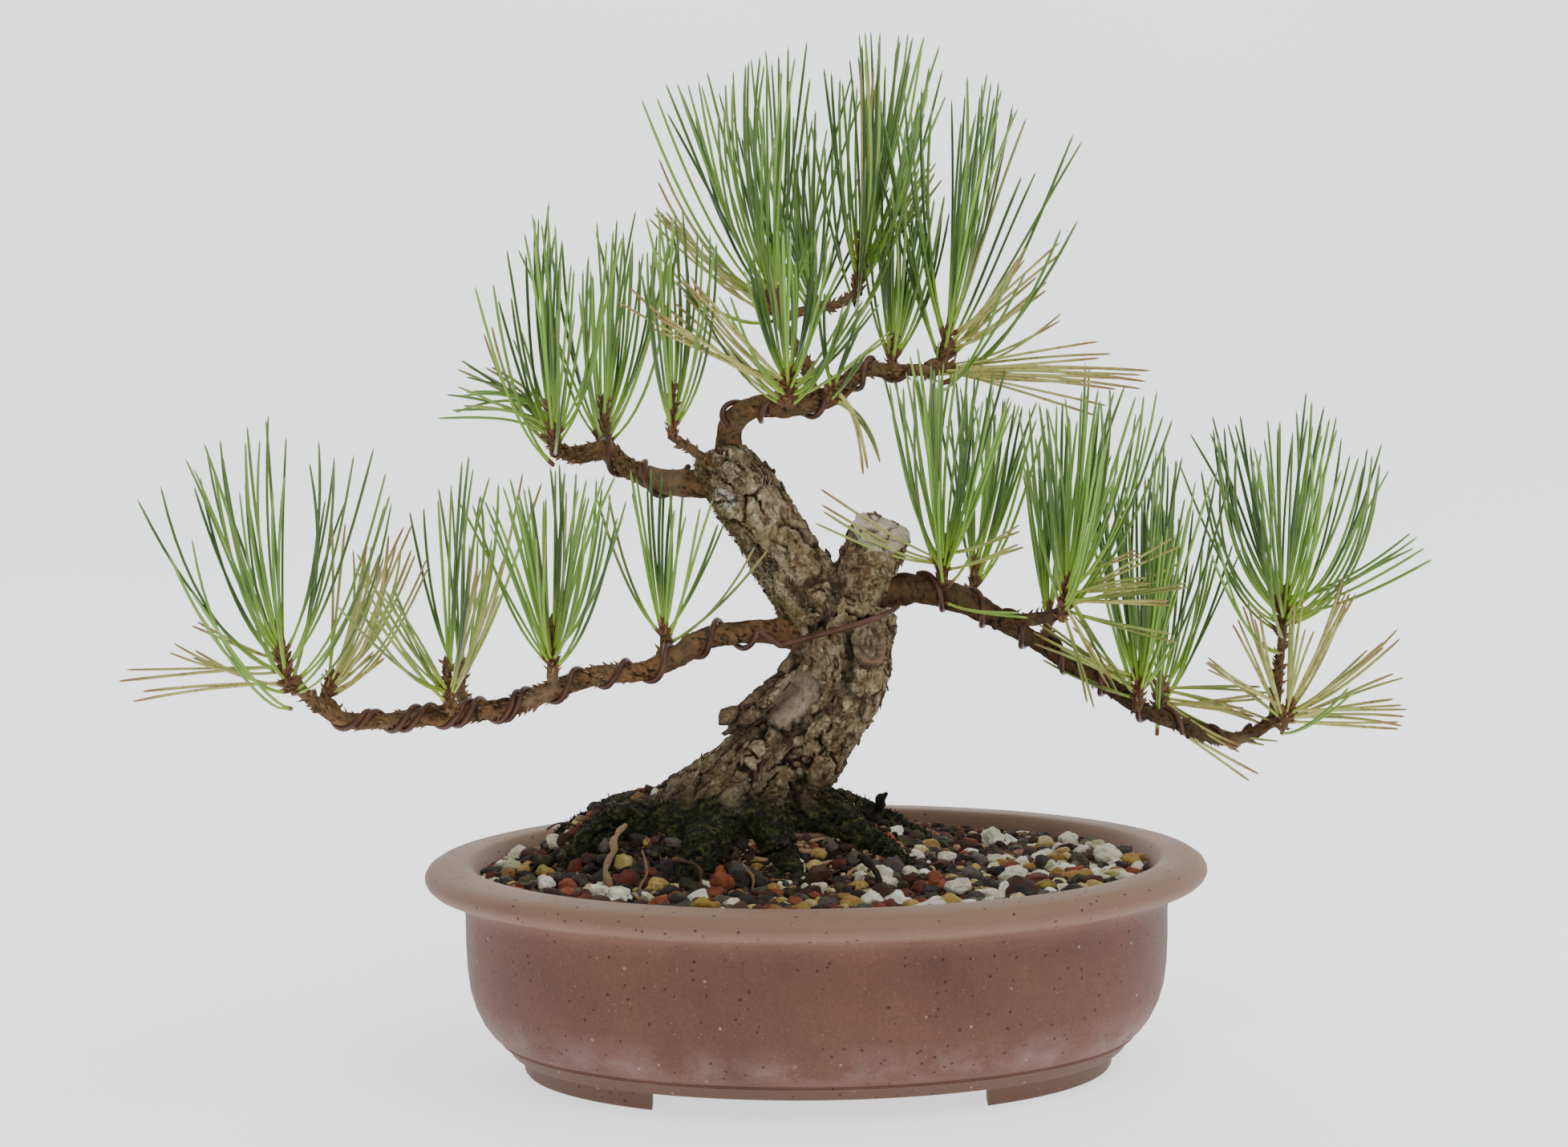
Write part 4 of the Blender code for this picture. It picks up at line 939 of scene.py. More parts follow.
ROOTS = [
    [(-50, 2, 102, 16), (-78, -6, 105, 10), (-97, -13, 96, 7), (-108, -18, 76, 4)],
    [(-52, 12, 102, 16), (-82, 19, 104, 10), (-106, 27, 92, 7), (-117, 31, 75, 4)],
    [(-40, -8, 102, 15), (-46, -28, 98, 9.5), (-53, -42, 86, 7), (-57, -50, 71, 4)],
    [(-20, -2, 108, 14), (6, -9, 106, 9), (26, -14, 95, 6.5), (40, -18, 84, 5), (50, -20, 74, 3)],
    [(-24, 8, 106, 14), (8, 17, 106, 9), (34, 24, 95, 7), (54, 30, 83, 5), (64, 33, 72, 3)],
    [(-42, 16, 104, 14), (-46, 40, 97, 9), (-50, 56, 84, 6), (-53, 63, 72, 4)],
    [(-22, -8, 108, 13), (-16, -24, 99, 8), (-10, -35, 88, 5), (-6, -42, 76, 3)],
]
CREVICES = [
    [(13, 188), (15.8, 182), (14.7, 174), (14.7, 168), (10, 162), (5, 156.5), (-4, 148),
     (-13.9, 141.6), (-22, 132)],
    [(9.6, 211), (10, 204), (6, 198), (4, 192)],
    [(-10.5, 207), (-4, 199), (2, 196)],
    [(-24, 222), (-17, 214)],
    [(31, 158), (22, 158.5), (14, 163)],
]
# Middles of the healed scar, of the bare patch and of the pale lichen.
SCAR = (25.5, -20.5, 183.0)
BARE = (-9.0, -19.0, 158.5)
LICHEN = (-35.5, -12.0, 243.0)
# The scar's grooves, painted dark as shade: where each lies, as a share of its radius, and how wide
# it is.
GROOVES = [(1.15, 0.07), (0.72, 0.05), (0.40, 0.05)]


def rod_of(points, step, sides, flat=1.0):
    path = smooth_path(millimetres(points), step * MM)
    return sweep(path[:, :3], path[:, 3], sides, flat)


def nearest_on(points, line):
    """For each point, the distance to a polyline and the direction of the polyline there."""
    line = np.asarray(line, float)
    best = np.full(len(points), 1e9)
    ahead = np.zeros((len(points), 3))
    for a, b in zip(line[:-1], line[1:]):
        d = b - a
        t = np.clip(((points - a) @ d) / (d @ d), 0, 1)
        gap = np.linalg.norm(points - a - t[:, None] * d, axis=1)
        closer = gap < best
        best[closer] = gap[closer]
        ahead[closer] = d / np.linalg.norm(d)
    return best, ahead


def cracked(points, ahead, size, stretch, seed, rng):
    """Voronoi plates, longer along the wood: distance to their edges, and which is which."""
    warp = np.stack([layered(points, size * 0.9, 3, seed + k) for k in range(3)], axis=1)
    bent = points + warp * size * 0.62
    bent = bent - ahead * np.sum(bent * ahead, axis=1, keepdims=True) * (1 - stretch)
    seeds = spaced(bent, size * 0.6, rng, 9000)
    near, following, owner = two_nearest(bent, seeds)
    return (following - near) / size, owner, bent - seeds[owner], len(seeds)


def bark_relief(mesh, line, size, flake, depth, stretch, seed, calm=None):
    """Cuts a skin into plates and flakes, and sets the values that its look is painted by."""
    rng = np.random.default_rng(seed)
    co, normal = point_array(mesh), normal_array(mesh)
    _, ahead = nearest_on(co, line)
    gate = layered(co, size * 1.1, 2, seed + 60)
    wide, owner, _, count = cracked(co, ahead, size, stretch, seed, rng)
    crack = ease(0.085, 0.0, wide) * ease(-0.30, 0.10, gate)
    rise = rng.random(count)[owner]
    small, part, away, count = cracked(co, ahead, flake, stretch + 0.15, seed + 5, rng)
    gap = ease(0.12, 0.0, small) * ease(-0.25, 0.15, layered(co, flake * 1.7, 2, seed + 70))
    lean = rng.normal(size=(count, 3))[part]
    shingle = np.clip(np.sum(away * lean, axis=1) / flake, -0.9, 0.9)
    shift = rng.random(count)[part] - 0.5
    ridge = 1 - 2 * np.abs(layered(co - ahead * np.sum(co * ahead, axis=1, keepdims=True) * 0.5,
                                   flake * 0.62, 3, seed + 80))
    grain = layered(co, flake * 0.20, 2, seed + 47)
    height = (-1.0 * crack - 0.26 * gap + 0.24 * (rise - 0.5) + 0.27 * shingle + 0.15 * shift
              + 0.20 * (ridge - 0.4) + 0.12 * grain)
    # The relief value follows the height, so the looks paint high places lighter and low places
    # darker: partly the bark's own colours, partly painted light and shade.
    tone = 0.5 + 0.8 * height
    if calm is not None:
        height = height * (1 - calm)
    put_points(mesh, co + normal * (height * depth)[:, None])
    put_values(mesh, "plate", 1 - np.clip(0.95 * crack + 0.5 * gap, 0, 1))
    put_values(mesh, "rise", np.clip(0.5 * rise + 0.5 * (shift + 0.5), 0, 1))
    put_values(mesh, "relief", np.clip(tone, 0, 1))


def swell_at(value, at, width):
    """1 where the value is `at`, falling to 0 on both sides of it."""
    return np.exp(-((value - at) / width) ** 2)


def near_spot(points, spot, radius):
    return np.linalg.norm(points - np.array(spot) * MM, axis=1) / (radius * MM)


def in_crevice(co, normal):
    """How deep points of the trunk's front lie in its long crevices, from 0 to 1."""
    deep = np.zeros(len(co))
    flat = np.insert(co[:, [0, 2]], 1, 0, axis=1)
    wander = layered(co, 6 * MM, 2, 15) * 1.6 * MM
    for crevice in CREVICES:
        reach, _ = nearest_on(flat, np.insert(np.array(millimetres(crevice)), 1, 0, axis=1))
        deep = np.maximum(deep, ease(4.2 * MM, 0.4 * MM, reach + wander))
    return deep * (ease(-4 * MM, -9 * MM, co[:, 1]) * ease(0.1, -0.2, normal[:, 1]))


def make_trunk(bark):
    """Trunk, stub and surface roots in one skin, with their bark, cuts and lichen."""
    parts = [rod_of(TRUNK, 3, 48), rod_of(STUB, 2.5, 36), rod_of(MUSCLE, 3, 32),
             rod_of(KNOT, 1, 32), rod_of(FLAP, 1.5, 24, 0.20)]
    parts += [rod_of(root, 4, 24) for root in ROOTS]
    mesh = fused("trunk_wood", parts, bark.voxel)
    relaxed(mesh, 9)
    co, normal = point_array(mesh), normal_array(mesh)
    top, level = sawn_top(co)
    lumps = layered(co, 26 * MM, 2, 2) * 1.3 * MM + layered(co, 10 * MM, 2, 8) * 0.9 * MM
    deep = in_crevice(co, normal) * (1 - top)
    put_points(mesh, co + normal * (lumps * (1 - top) - deep * 4.6 * MM)[:, None] + level)
    co, normal = point_array(mesh), normal_array(mesh)
    scar = near_spot(co, SCAR, 9.5)
    bare = ease(1.15, 0.75, bare_reach(co))
    hidden = ease(96 * MM, 86 * MM, co[:, 2])
    calm = np.clip(ease(1.0, 0.8, scar) * 0.3 + bare * 0.85 + top + hidden, 0, 1)
    line = smooth_path(millimetres(TRUNK), 6 * MM)[:, :3]
    bark_relief(mesh, line, bark.plate, bark.flake, bark.crack, 0.55, 3, calm)
    co = point_array(mesh)
    wobble = scar + layered(co, 5 * MM, 2, 33) * 0.10
    callus = swell_at(wobble, 0.93, 0.13) * 2.0 * MM
    inner = swell_at(wobble, 0.52, 0.10) * 0.7 * MM
    dish = -ease(0.86, 0.55, wobble) * 1.3 * MM - swell_at(wobble, 1.22, 0.09) * 1.3 * MM
    fibre = layered(co, 1.6 * MM, 2, 77) * 0.25 * MM * np.clip(bare + top, 0, 1)
    split = ease(0.10, 0.0, np.abs(layered(co, 9 * MM, 2, 52))) * top * -0.9 * MM
    change = callus + inner + dish + fibre + split
    put_points(mesh, co + normal_array(mesh) * change[:, None])
    # lit: the side of the callus that faces the light; the look paints it lighter, a painted
    # highlight.
    lit = ease(4 * MM, -4 * MM, co[:, 2] - SCAR[2] * MM - (co[:, 0] - SCAR[0] * MM))
    flap, _ = nearest_on(co, smooth_path(millimetres(FLAP), 2 * MM)[:, :3])
    # behind: near the torn flap, faces turned away from the light are painted dark, which is
    # painted shade under the flap.
    behind = ease(13 * MM, 7 * MM, flap) * 0.7 * ease(0.3, -0.3, normal_array(mesh)[:, 0])
    values = {"cut": top, "split": split / (-0.9 * MM), "bare": bare,
              "scar": ease(1.15, 0.95, scar), "callus": swell_at(wobble, 0.90, 0.10) * lit,
              "groove": sum(swell_at(wobble, at, width) for at, width in GROOVES),
              "crevice": np.maximum(deep, behind),
              "lichen": ease(1.2, 0.6, near_spot(co, LICHEN, 5.5))}
    for title, value in values.items():
        put_values(mesh, title, value)
    piece("trunk_wood", mesh, trunk_look(bark), ("trunk",))
    make_flakes(mesh, line, np.clip(bare + top + ease(1.3, 1.0, scar), 0, 1), bark)
    make_fuzz(mesh)


FLAKES = 620


def make_flakes(mesh, line, smooth, bark):
    """Loose scales of bark, each standing off the wood by an edge, and the torn flap's layers."""
    rng = np.random.default_rng(57)
    co, normal = point_array(mesh), normal_array(mesh)
    own = np.flatnonzero((co[:, 2] > 124 * MM) & (smooth < 0.3) & (normal[:, 2] < 0.8))
    own = own[rng.permutation(len(own))[:FLAKES]]
    _, ahead = nearest_on(co[own], line)
    tall = rng.uniform(1.6, 4.2, len(own)) * MM
    sizes = np.stack([tall, tall * rng.uniform(0.4, 0.75, len(own)),
                      rng.uniform(0.25, 0.55, len(own)) * MM], axis=1)
    places, ways, tones = co[own], normal[own], rng.random(len(own))
    path = smooth_path(millimetres(FLAP), 4.2 * MM)[1:-1, :3]
    count = len(path) * 3
    layers = np.repeat(path, 3, axis=0) + rng.normal(0, 1.3, (count, 3)) * MM
    layers += np.array((-0.45, -0.55, 0.4)) * (np.arange(count) % 3 * 2.2 + 1.5)[:, None] * MM
    places = np.concatenate([places, layers])
    ways = np.concatenate([ways, np.tile((-0.55, -0.62, 0.5), (count, 1))])
    ahead = np.concatenate([ahead, np.tile((-0.7, 0.0, -0.7), (count, 1))])
    # The flap's layers take darker tones: the dark of the flap itself, and painted shade inside it.
    tones = np.concatenate([tones, rng.uniform(-0.1, 0.45, count)])
    sizes = np.concatenate([sizes, np.stack([rng.uniform(5, 9, count), rng.uniform(3, 4.6, count),
                                             rng.uniform(0.4, 0.8, count)], axis=1) * MM])
    ways = unit(ways + rng.normal(0, 0.20, ways.shape))
    side = unit(np.cross(ways, ahead + rng.normal(0, 0.25, ahead.shape)))
    ahead = np.cross(side, ways)
    sides = 8
    turn = np.arange(sides) * FULL_TURN / sides + rng.uniform(-0.2, 0.2, (len(places), sides))
    reach = rng.uniform(0.68, 1.08, (len(places), sides))
    flat = (ahead[:, None] * (np.cos(turn) * reach * sizes[:, :1])[:, :, None]
            + side[:, None] * (np.sin(turn) * reach * sizes[:, 1:2])[:, :, None])
    up = (ways * sizes[:, 2:])[:, None]
    middle = places[:, None] + up * 0.3
    curl = (reach ** 2)[:, :, None] * up * 1.2
    rings = [middle - up, middle - up + flat + curl, middle + flat * 0.94 + curl, middle + up * 0.2]
    verts = np.concatenate(rings, axis=1)
    step, after = np.arange(sides), (np.arange(sides) + 1) % sides
    low, high, tip = 1 + step, 1 + sides + step, np.full(sides, 2 * sides + 1)
    tris = np.concatenate([np.stack([np.zeros(sides, int), 1 + after, low], axis=1),
                           np.stack([high, 1 + sides + after, tip], axis=1)])
    quads = np.stack([low, 1 + after, 1 + sides + after, high], axis=1)
    base = np.arange(len(places))[:, None, None] * (2 * sides + 2)
    # edge is 1 under each flake and round its rim and less on its top; the look paints these places
    # dark: painted shade under and round the flakes.
    edge = np.tile([1.0] + [1.0] * sides + [0.75] * sides + [0.0], len(places))
    mesh = mesh_of("bark_flakes", verts.reshape(-1, 3), (quads + base).reshape(-1, 4),
                   (tris + base).reshape(-1, 3),
                   {"tone": np.repeat(tones, 2 * sides + 2), "edge": edge})
    piece("bark_flakes", mesh, flake_look(bark))


def flake_look(bark):
    look = Look("bark_flake", 0.92, Specular_IOR_Level=0.2)
    grey, brown, dark = tuple(bark.plate_colour), tuple(bark.under_colour), tuple(bark.crack_shade)
    fine = look.noise(1.2 * MM, 5, 0.72)
    tone = look.plus(look.times(look.value("tone"), 0.40), look.times(fine, 0.75))
    colour = look.ramp(tone, (0.30, dark), (0.48, brown), (0.66, scaled(grey, 0.85)),
                       (0.86, scaled(grey, 1.5)))
    # The undersides and rims of the flakes are painted dark: painted shade.
    colour = look.blend(look.range(look.value("edge"), 0.35, 0.85, 0.0, 0.7), colour, dark)
    return look.finish(colour, None, fine, 0.4 * MM, 0.8)


def make_fuzz(mesh):
    """Hair-like lichen on the upper trunk: ochre along its shaded side, pale down its front."""
    rng = np.random.default_rng(31)
    co, normal = point_array(mesh), normal_array(mesh)
    upper = (co[:, 2] > 183 * MM) & (co[:, 2] < 262 * MM) & (co[:, 0] < 4 * MM)
    side = normal[:, 0] + 0.35 * layered(co, 12 * MM, 2, 41)
    ochre = np.flatnonzero(upper & (side < -0.35))
    pale = np.flatnonzero(upper & (side > -0.45) & (side < 0.12) & (normal[:, 1] < 0)
                          & (layered(co, 9 * MM, 2, 43) > 0.0) & (co[:, 2] > 195 * MM))
    ochre = rng.choice(ochre, min(3000, len(ochre)), replace=False)
    pale = rng.choice(pale, min(1100, len(pale)), replace=False)
    own = np.concatenate([ochre, pale])
    tones = np.concatenate([rng.uniform(0.0, 0.6, len(ochre)), rng.uniform(0.65, 1, len(pale))])
    look = Look("lichen_hair", 0.95, Specular_IOR_Level=0.1)
    colour = look.ramp(look.value("tone"), (0.0, (0.075, 0.055, 0.018)), (0.3, (0.16, 0.13, 0.04)),
                       (0.58, (0.20, 0.19, 0.065)), (0.68, (0.32, 0.30, 0.22)),
                       (1.0, (0.56, 0.54, 0.45)))
    sprout("lichen_hair", co[own], normal[own], (0.7, 1.9), (0.12, 0.26), tones,
           look.finish(colour), rng)


def sprout(name, places, ways, tall, thick, tones, look, rng, stands_for=()):
    """Many short curved blades as one piece."""
    ways = unit(ways + rng.normal(0, 0.55, ways.shape))
    tall = rng.uniform(*tall, len(places))[:, None] * MM
    thick = rng.uniform(*thick, len(places))[:, None] * MM
    side = unit(np.cross(ways, (0.3, 0.5, 0.1)))
    up = np.cross(ways, side)
    bend = ways + rng.normal(0, 0.45, ways.shape)
    rings = []
    for at, size, way in ((-0.1, 1.0, ways), (0.55, 0.8, ways)):
        middle = places + way * tall * at
        rings += [middle + (side * math.cos(t) + up * math.sin(t)) * thick * size
                  for t in (0, 2.09, 4.19)]
    tip = places + ways * tall * 0.55 + bend * tall * 0.45
    verts = np.stack([*rings, tip], axis=1).reshape(-1, 3)
    base = np.arange(len(places))[:, None, None] * 7
    tris = (np.array([[3, 4, 6], [4, 5, 6], [5, 3, 6]])[None] + base).reshape(-1, 3)
    quads = (np.array([[0, 1, 4, 3], [1, 2, 5, 4], [2, 0, 3, 5]])[None] + base).reshape(-1, 4)
    mesh = mesh_of(name, verts, quads, tris, {"tone": np.repeat(tones, 7)})
    return piece(name, mesh, look, stands_for)


def bare_reach(co):
    """How far points are from the middle of the bare patch, in its own long and narrow size."""
    d = (co - np.array(BARE) * MM) * (1, 0.35, 1)
    along = np.array((0.58, -0.05, 0.81))
    run = d @ along
    side = np.linalg.norm(d - run[:, None] * along, axis=1)
    wobble = layered(co, 7 * MM, 2, 91) * 0.25
    back = 9 * (co[:, 1] > -6 * MM)
    return np.sqrt((run / (14 * MM)) ** 2 + (side / (8.5 * MM)) ** 2) + wobble + back


# A point of the stub's sawn face, and the way that the face looks.
SAW_AT, SAW_UP = (28.5, -2, 224.5), (0.28, -0.50, 0.82)


def sawn_top(co):
    """How much each point belongs to the stub's sawn face, and its move on to that face."""
    up = np.array(SAW_UP) / np.linalg.norm(SAW_UP)
    run = (co - np.array(SAW_AT) * MM) @ up
    here = (co[:, 2] > 212 * MM) & (co[:, 0] > 8 * MM)
    over = np.where(here, np.clip(run, 0, None), 0)
    return np.where(here, ease(-0.7 * MM, 0.1 * MM, run), 0.0), -over[:, None] * up


def trunk_look(bark):
    """Old pine bark: weathered plates over brown, cracks painted black as shade, lichen, moss and
    bare wood.
    """
    look = Look("trunk_bark", 0.92, Specular_IOR_Level=0.22)
    relief, plate, rise = look.value("relief"), look.value("plate"), look.value("rise")
    fine = look.noise(1.5 * MM, 5, 0.72)
    cloud = look.noise(17 * MM, 4, 0.6)
    grey, brown, dark = tuple(bark.plate_colour), tuple(bark.under_colour), tuple(bark.crack_shade)
    # This tone mixes the bark's weathering with painted light and shade taken from the relief.
    weathering_and_shade = look.plus(look.times(relief, 0.72), look.times(fine, 0.95))
    weathering_and_shade = look.plus(weathering_and_shade, look.range(rise, 0, 1, -0.10, 0.10))
    weathering_and_shade = look.maths("SUBTRACT", weathering_and_shade, 0.20)
    colour = look.ramp(weathering_and_shade, (0.32, dark), (0.45, scaled(brown, 0.50)), (0.56, brown),
                       (0.68, scaled(grey, 0.70)), (0.82, grey), (1.0, (0.62, 0.55, 0.42)))
    warm = look.range(cloud, 0.46, 0.66)
    colour = look.coat(colour, (0.20, 0.12, 0.060), warm, 0.3)
    lichen = look.times(look.range(look.noise(8 * MM, 4, 0.7), 0.50, 0.62),
                        look.range(look.noise(0.9 * MM, 3, 0.7), 0.44, 0.60))
    colour = look.coat(colour, (0.215, 0.205, 0.070), lichen, 0.6)
    pale = look.times(look.value("lichen"), look.range(fine, 0.30, 0.52))
    colour = look.coat(colour, (0.52, 0.50, 0.42), pale, 0.85)
    # The cracks are painted near black: painted shade.
    cracks = look.range(plate, 0.5, 0.0)
    colour = look.coat(colour, dark, cracks, 0.9)
    # The crevices and the place under the flap are painted darker: painted shade.
    colour = look.coat(colour, dark, look.value("crevice"), 0.6)
    upper = look.times(look.range(look.axis("Z"), 190 * MM, 215 * MM),
                       look.range(look.axis("X"), -26 * MM, -8 * MM))
    upper = look.times(upper, look.range(fine, 0.62, 0.40))
    colour = look.coat(colour, (0.155, 0.078, 0.042), upper, 0.4)
    wood = look.ramp(look.noise(3.4 * MM, 6, 0.78), (0.3, (0.135, 0.085, 0.050)),
                     (0.48, (0.30, 0.225, 0.155)), (0.70, (0.50, 0.42, 0.32)))
    colour = look.coat(colour, wood, look.value("bare"), 0.85)
    heal = look.ramp(look.noise(2.2 * MM, 4, 0.7), (0.3, (0.050, 0.034, 0.020)),
                     (0.52, (0.175, 0.130, 0.080)), (0.70, (0.36, 0.30, 0.20)))
    colour = look.coat(colour, heal, look.value("scar"), 0.85)
    # The grooves are painted dark: painted shade.
    colour = look.coat(colour, dark, look.value("groove"), 0.8)
    # The callus rim's lit side is painted lighter: a painted highlight.
    rim = look.times(look.value("callus"), look.value("scar"))
    colour = look.coat(colour, (0.270, 0.135, 0.080), rim, 0.8)
    sawn = look.ramp(look.noise(2.8 * MM, 5, 0.7), (0.28, (0.25, 0.17, 0.11)),
                     (0.45, (0.56, 0.47, 0.35)), (0.66, (0.78, 0.71, 0.60)))
    # The splits in the sawn face are painted dark: painted shade in them.
    sawn = look.blend(look.value("split"), sawn, (0.09, 0.065, 0.05))
    colour = look.blend(look.value("cut"), colour, sawn)
    low = look.plus(look.axis("Z"), look.range(look.noise(11 * MM, 3), 0, 1, -14 * MM, 14 * MM))
    damp = look.range(low, 131 * MM, 113 * MM)
    mossy = look.ramp(look.noise(3.2 * MM, 5, 0.7), (0.36, (0.006, 0.007, 0.004)),
                      (0.52, (0.020, 0.022, 0.009)), (0.66, (0.075, 0.078, 0.020)),
                      (0.80, (0.14, 0.115, 0.060)))
    colour = look.blend(damp, colour, mossy)
    height = look.plus(fine, look.times(look.noise(0.6 * MM, 3, 0.7), 0.4))
    return look.finish(colour, None, height, 0.7 * MM, 0.9)


class BONSAI_OT_trunk(bpy.types.Operator):
    """Grow the trunk with its sawn stub, surface roots, cracked plates, scar and bare patch"""

    bl_idname = "bonsai.trunk"
    bl_label = "Trunk"

    def execute(self, context):
        make_trunk(context.scene.bonsai_bark)
        return {"FINISHED"}


# ---- branches ------------------------------------------------------------------------------
BRANCHES = {
    "branch_left_low": [(4, -3, 182, 7.5), (-12, -8, 186, 6.2), (-28, -13, 187, 5.4),
                        (-45, -18, 185, 5.2), (-57, -22, 178, 4.7), (-71, -26, 173, 4.2),
                        (-89, -30, 172, 4), (-107, -34, 167, 4.1), (-123, -38, 161, 4.1),
                        (-143, -42, 159, 3.9), (-162, -46, 158, 3.6), (-183, -50, 157, 3.2),
                        (-195, -52, 160, 2.9), (-205, -54, 168, 2.6), (-211, -56, 176, 2.3)],
    "branch_left_middle": [(-30, 0, 250, 8), (-46, 3, 248, 6.2), (-64, 8, 249, 5),
                           (-78, 14, 255, 4.4), (-87, 18, 261, 4.1), (-99, 22, 259, 3.5),
                           (-107, 24, 261, 3)],
    "twig_left_upper": [(-33, -2, 250, 3.2), (-42, -8, 257, 2.4), (-50, -13, 264, 2.1),
                        (-57, -17, 269, 1.8)],
    "branch_apex": [(-34, 0, 255, 8), (-34, 0, 267, 6.4), (-32, 0, 274, 5.6), (-23, -3, 280, 5.3),
                    (-8, -8, 281, 5), (8, -6, 284, 5), (16, -4, 290, 4.5), (22, -2, 295, 3.7),
                    (34, 2, 294, 3.1), (47, 6, 294, 2.8)],
    "branch_apex_back": [(2, -6, 283, 3.6), (0, 2, 289, 2.9), (-1, 9, 296, 2.7), (-6, 15, 305, 2.4),
                         (-10, 19, 315, 2.2), (0, 24, 319, 2), (13, 28, 321, 2),
                         (20, 31, 325, 1.9)],
    "branch_right_low": [(20, 1, 202, 9), (34, 2, 202, 7), (46, 4, 202, 5.7),
                         (62, 8, 197, 5.3), (77, 12, 189, 4.8), (94, 18, 178, 4.2),
                         (110, 22, 167, 3.8), (126, 26, 157, 3.7), (141, 30, 146, 3.6),
                         (156, 34, 139, 3.3), (168, 36, 134, 3), (180, 38, 131, 2.7),
                         (192, 40, 134, 2.5), (200, 40, 141, 2.2)],
    "twig_right_inner": [(77, 12, 187, 4), (85, 7, 188, 3.2), (94, 2, 189, 3), (104, -3, 192, 2.6)],
}
DARK_BRANCHES = ("branch_right_low", "twig_right_inner")
YOUNG_BRANCHES = ("branch_left_low", "branch_left_middle", "branch_apex_back")
SPUR_STARTS = {"branch_left_low": 0.34, "branch_right_low": 0.45, "branch_left_middle": 0.5,
               "branch_apex": 0.45}


# Sides of the thinnest rods, the spurs and needles.
THIN_SIDES = 5


def branch_line(name):
    return smooth_path(millimetres(BRANCHES[name]), 0.9 * MM)


def young_bark(name, path, sides, size, depth, seed):
    """A branch's skin: swellings along its length and small lifted scales."""
    line, radii = path[:, :3], path[:, 3]
    swell = 1 + 0.16 * noise(line, 11 * MM, seed) + 0.08 * noise(line, 4 * MM, seed + 1)
    mesh = mesh_of(name, *sweep(line, radii * swell, sides))
    bark_relief(mesh, line[:: max(1, len(line) // 40)], size * 2.4, size, depth, 0.65, seed)
    return mesh


def branch_look(name, bark, shade):
    """Scaly young bark, orange-brown with gaps painted dark as shade and raised edges painted
    light: their own orange and a painted highlight.
    """
    look = Look(name, 0.9, Specular_IOR_Level=0.15)
    young, dark = tuple(bark.young_colour), tuple(bark.crack_shade)
    young = scaled(young, shade)
    fine = look.noise(1.1 * MM, 5, 0.72)
    tone = look.plus(look.times(look.value("relief"), 0.62), look.times(fine, 0.62))
    tone = look.plus(tone, look.range(look.value("rise"), 0, 1, -0.12, 0.04))
    # The raised scales are painted lighter: partly their own orange, partly a painted highlight.
    rubbed = tuple(min(1, c * 2.1 * shade + 0.02) for c in young)
    colour = look.ramp(tone, (0.34, dark), (0.46, scaled(young, 0.45)), (0.60, young),
                       (0.76, scaled(young, 1.45)), (0.94, rubbed))
    cloud = look.range(look.noise(15 * MM, 4, 0.6), 0.44, 0.62)
    colour = look.coat(colour, (0.115, 0.088, 0.045), cloud, 0.45)
    pale = look.range(look.noise(26 * MM, 3, 0.6), 0.56, 0.66)
    colour = look.coat(colour, (0.34, 0.25, 0.155), pale, 0.30 * shade)
    # The gaps between the plates are painted dark: painted shade.
    colour = look.blend(look.range(look.value("plate"), 0.55, 0.0, 0.0, 0.55), colour, dark)
    return look.finish(colour, None, fine, 0.5 * MM, 0.8)


def add_spurs(mesh, path, first, last, count, tall, seed):
    """Adds the short pointed stubs that dropped needles leave along a young branch."""
    rng = np.random.default_rng(seed)
    lines, thick = [], []
    for part in rng.uniform(first, last, count):
        here, ahead, radius = along(path, part)
        out = np.cross(ahead, rng.normal(size=3))
        out /= np.linalg.norm(out)
        size = tall * rng.uniform(0.5, 1.1)
        way = ahead * rng.uniform(0.3, 1.1) + out
        way /= np.linalg.norm(way)
        start = here + out * radius * 0.7
        lines.append([start, start + way * size * 0.55, start + (way + ahead * 0.2) * size])
        thick.append(np.array((0.85, 0.62, 0.10)) * MM * rng.uniform(0.6, 1.15))
    verts, quads = blades(np.array(lines), np.array(thick), THIN_SIDES)
    # bright: how light each spur is painted, its own orange and a painted highlight.
    bright = np.repeat(rng.uniform(0.6, 1.0, count), 3 * THIN_SIDES)
    grow_mesh(mesh, verts, quads, {"plate": 1.0, "relief": bright, "rise": 0.75}, 0)


def blades(lines, thick, sides):
    """Thin rods along many lines, each of as many points, with a radius at every point."""
    count, steps = lines.shape[:2]
    way = unit(np.gradient(lines, axis=1))
    side = unit(np.cross(way, (0.31, 0.77, 0.11)))
    up = np.cross(way, side)
    turn = round_turn(sides)
    ring = side[:, :, None] * np.cos(turn)[:, None] + up[:, :, None] * np.sin(turn)[:, None]
    verts = lines[:, :, None] + ring * thick[:, :, None, None]
    i, j = np.meshgrid(np.arange(steps - 1), np.arange(sides), indexing="ij")
    a, b = i * sides + j, i * sides + (j + 1) % sides
    one = np.stack([a, b, b + sides, a + sides], axis=-1).reshape(-1, 4)
    quads = one[None] + (np.arange(count) * steps * sides)[:, None, None]
    return verts.reshape(-1, 3), quads.reshape(-1, 4)


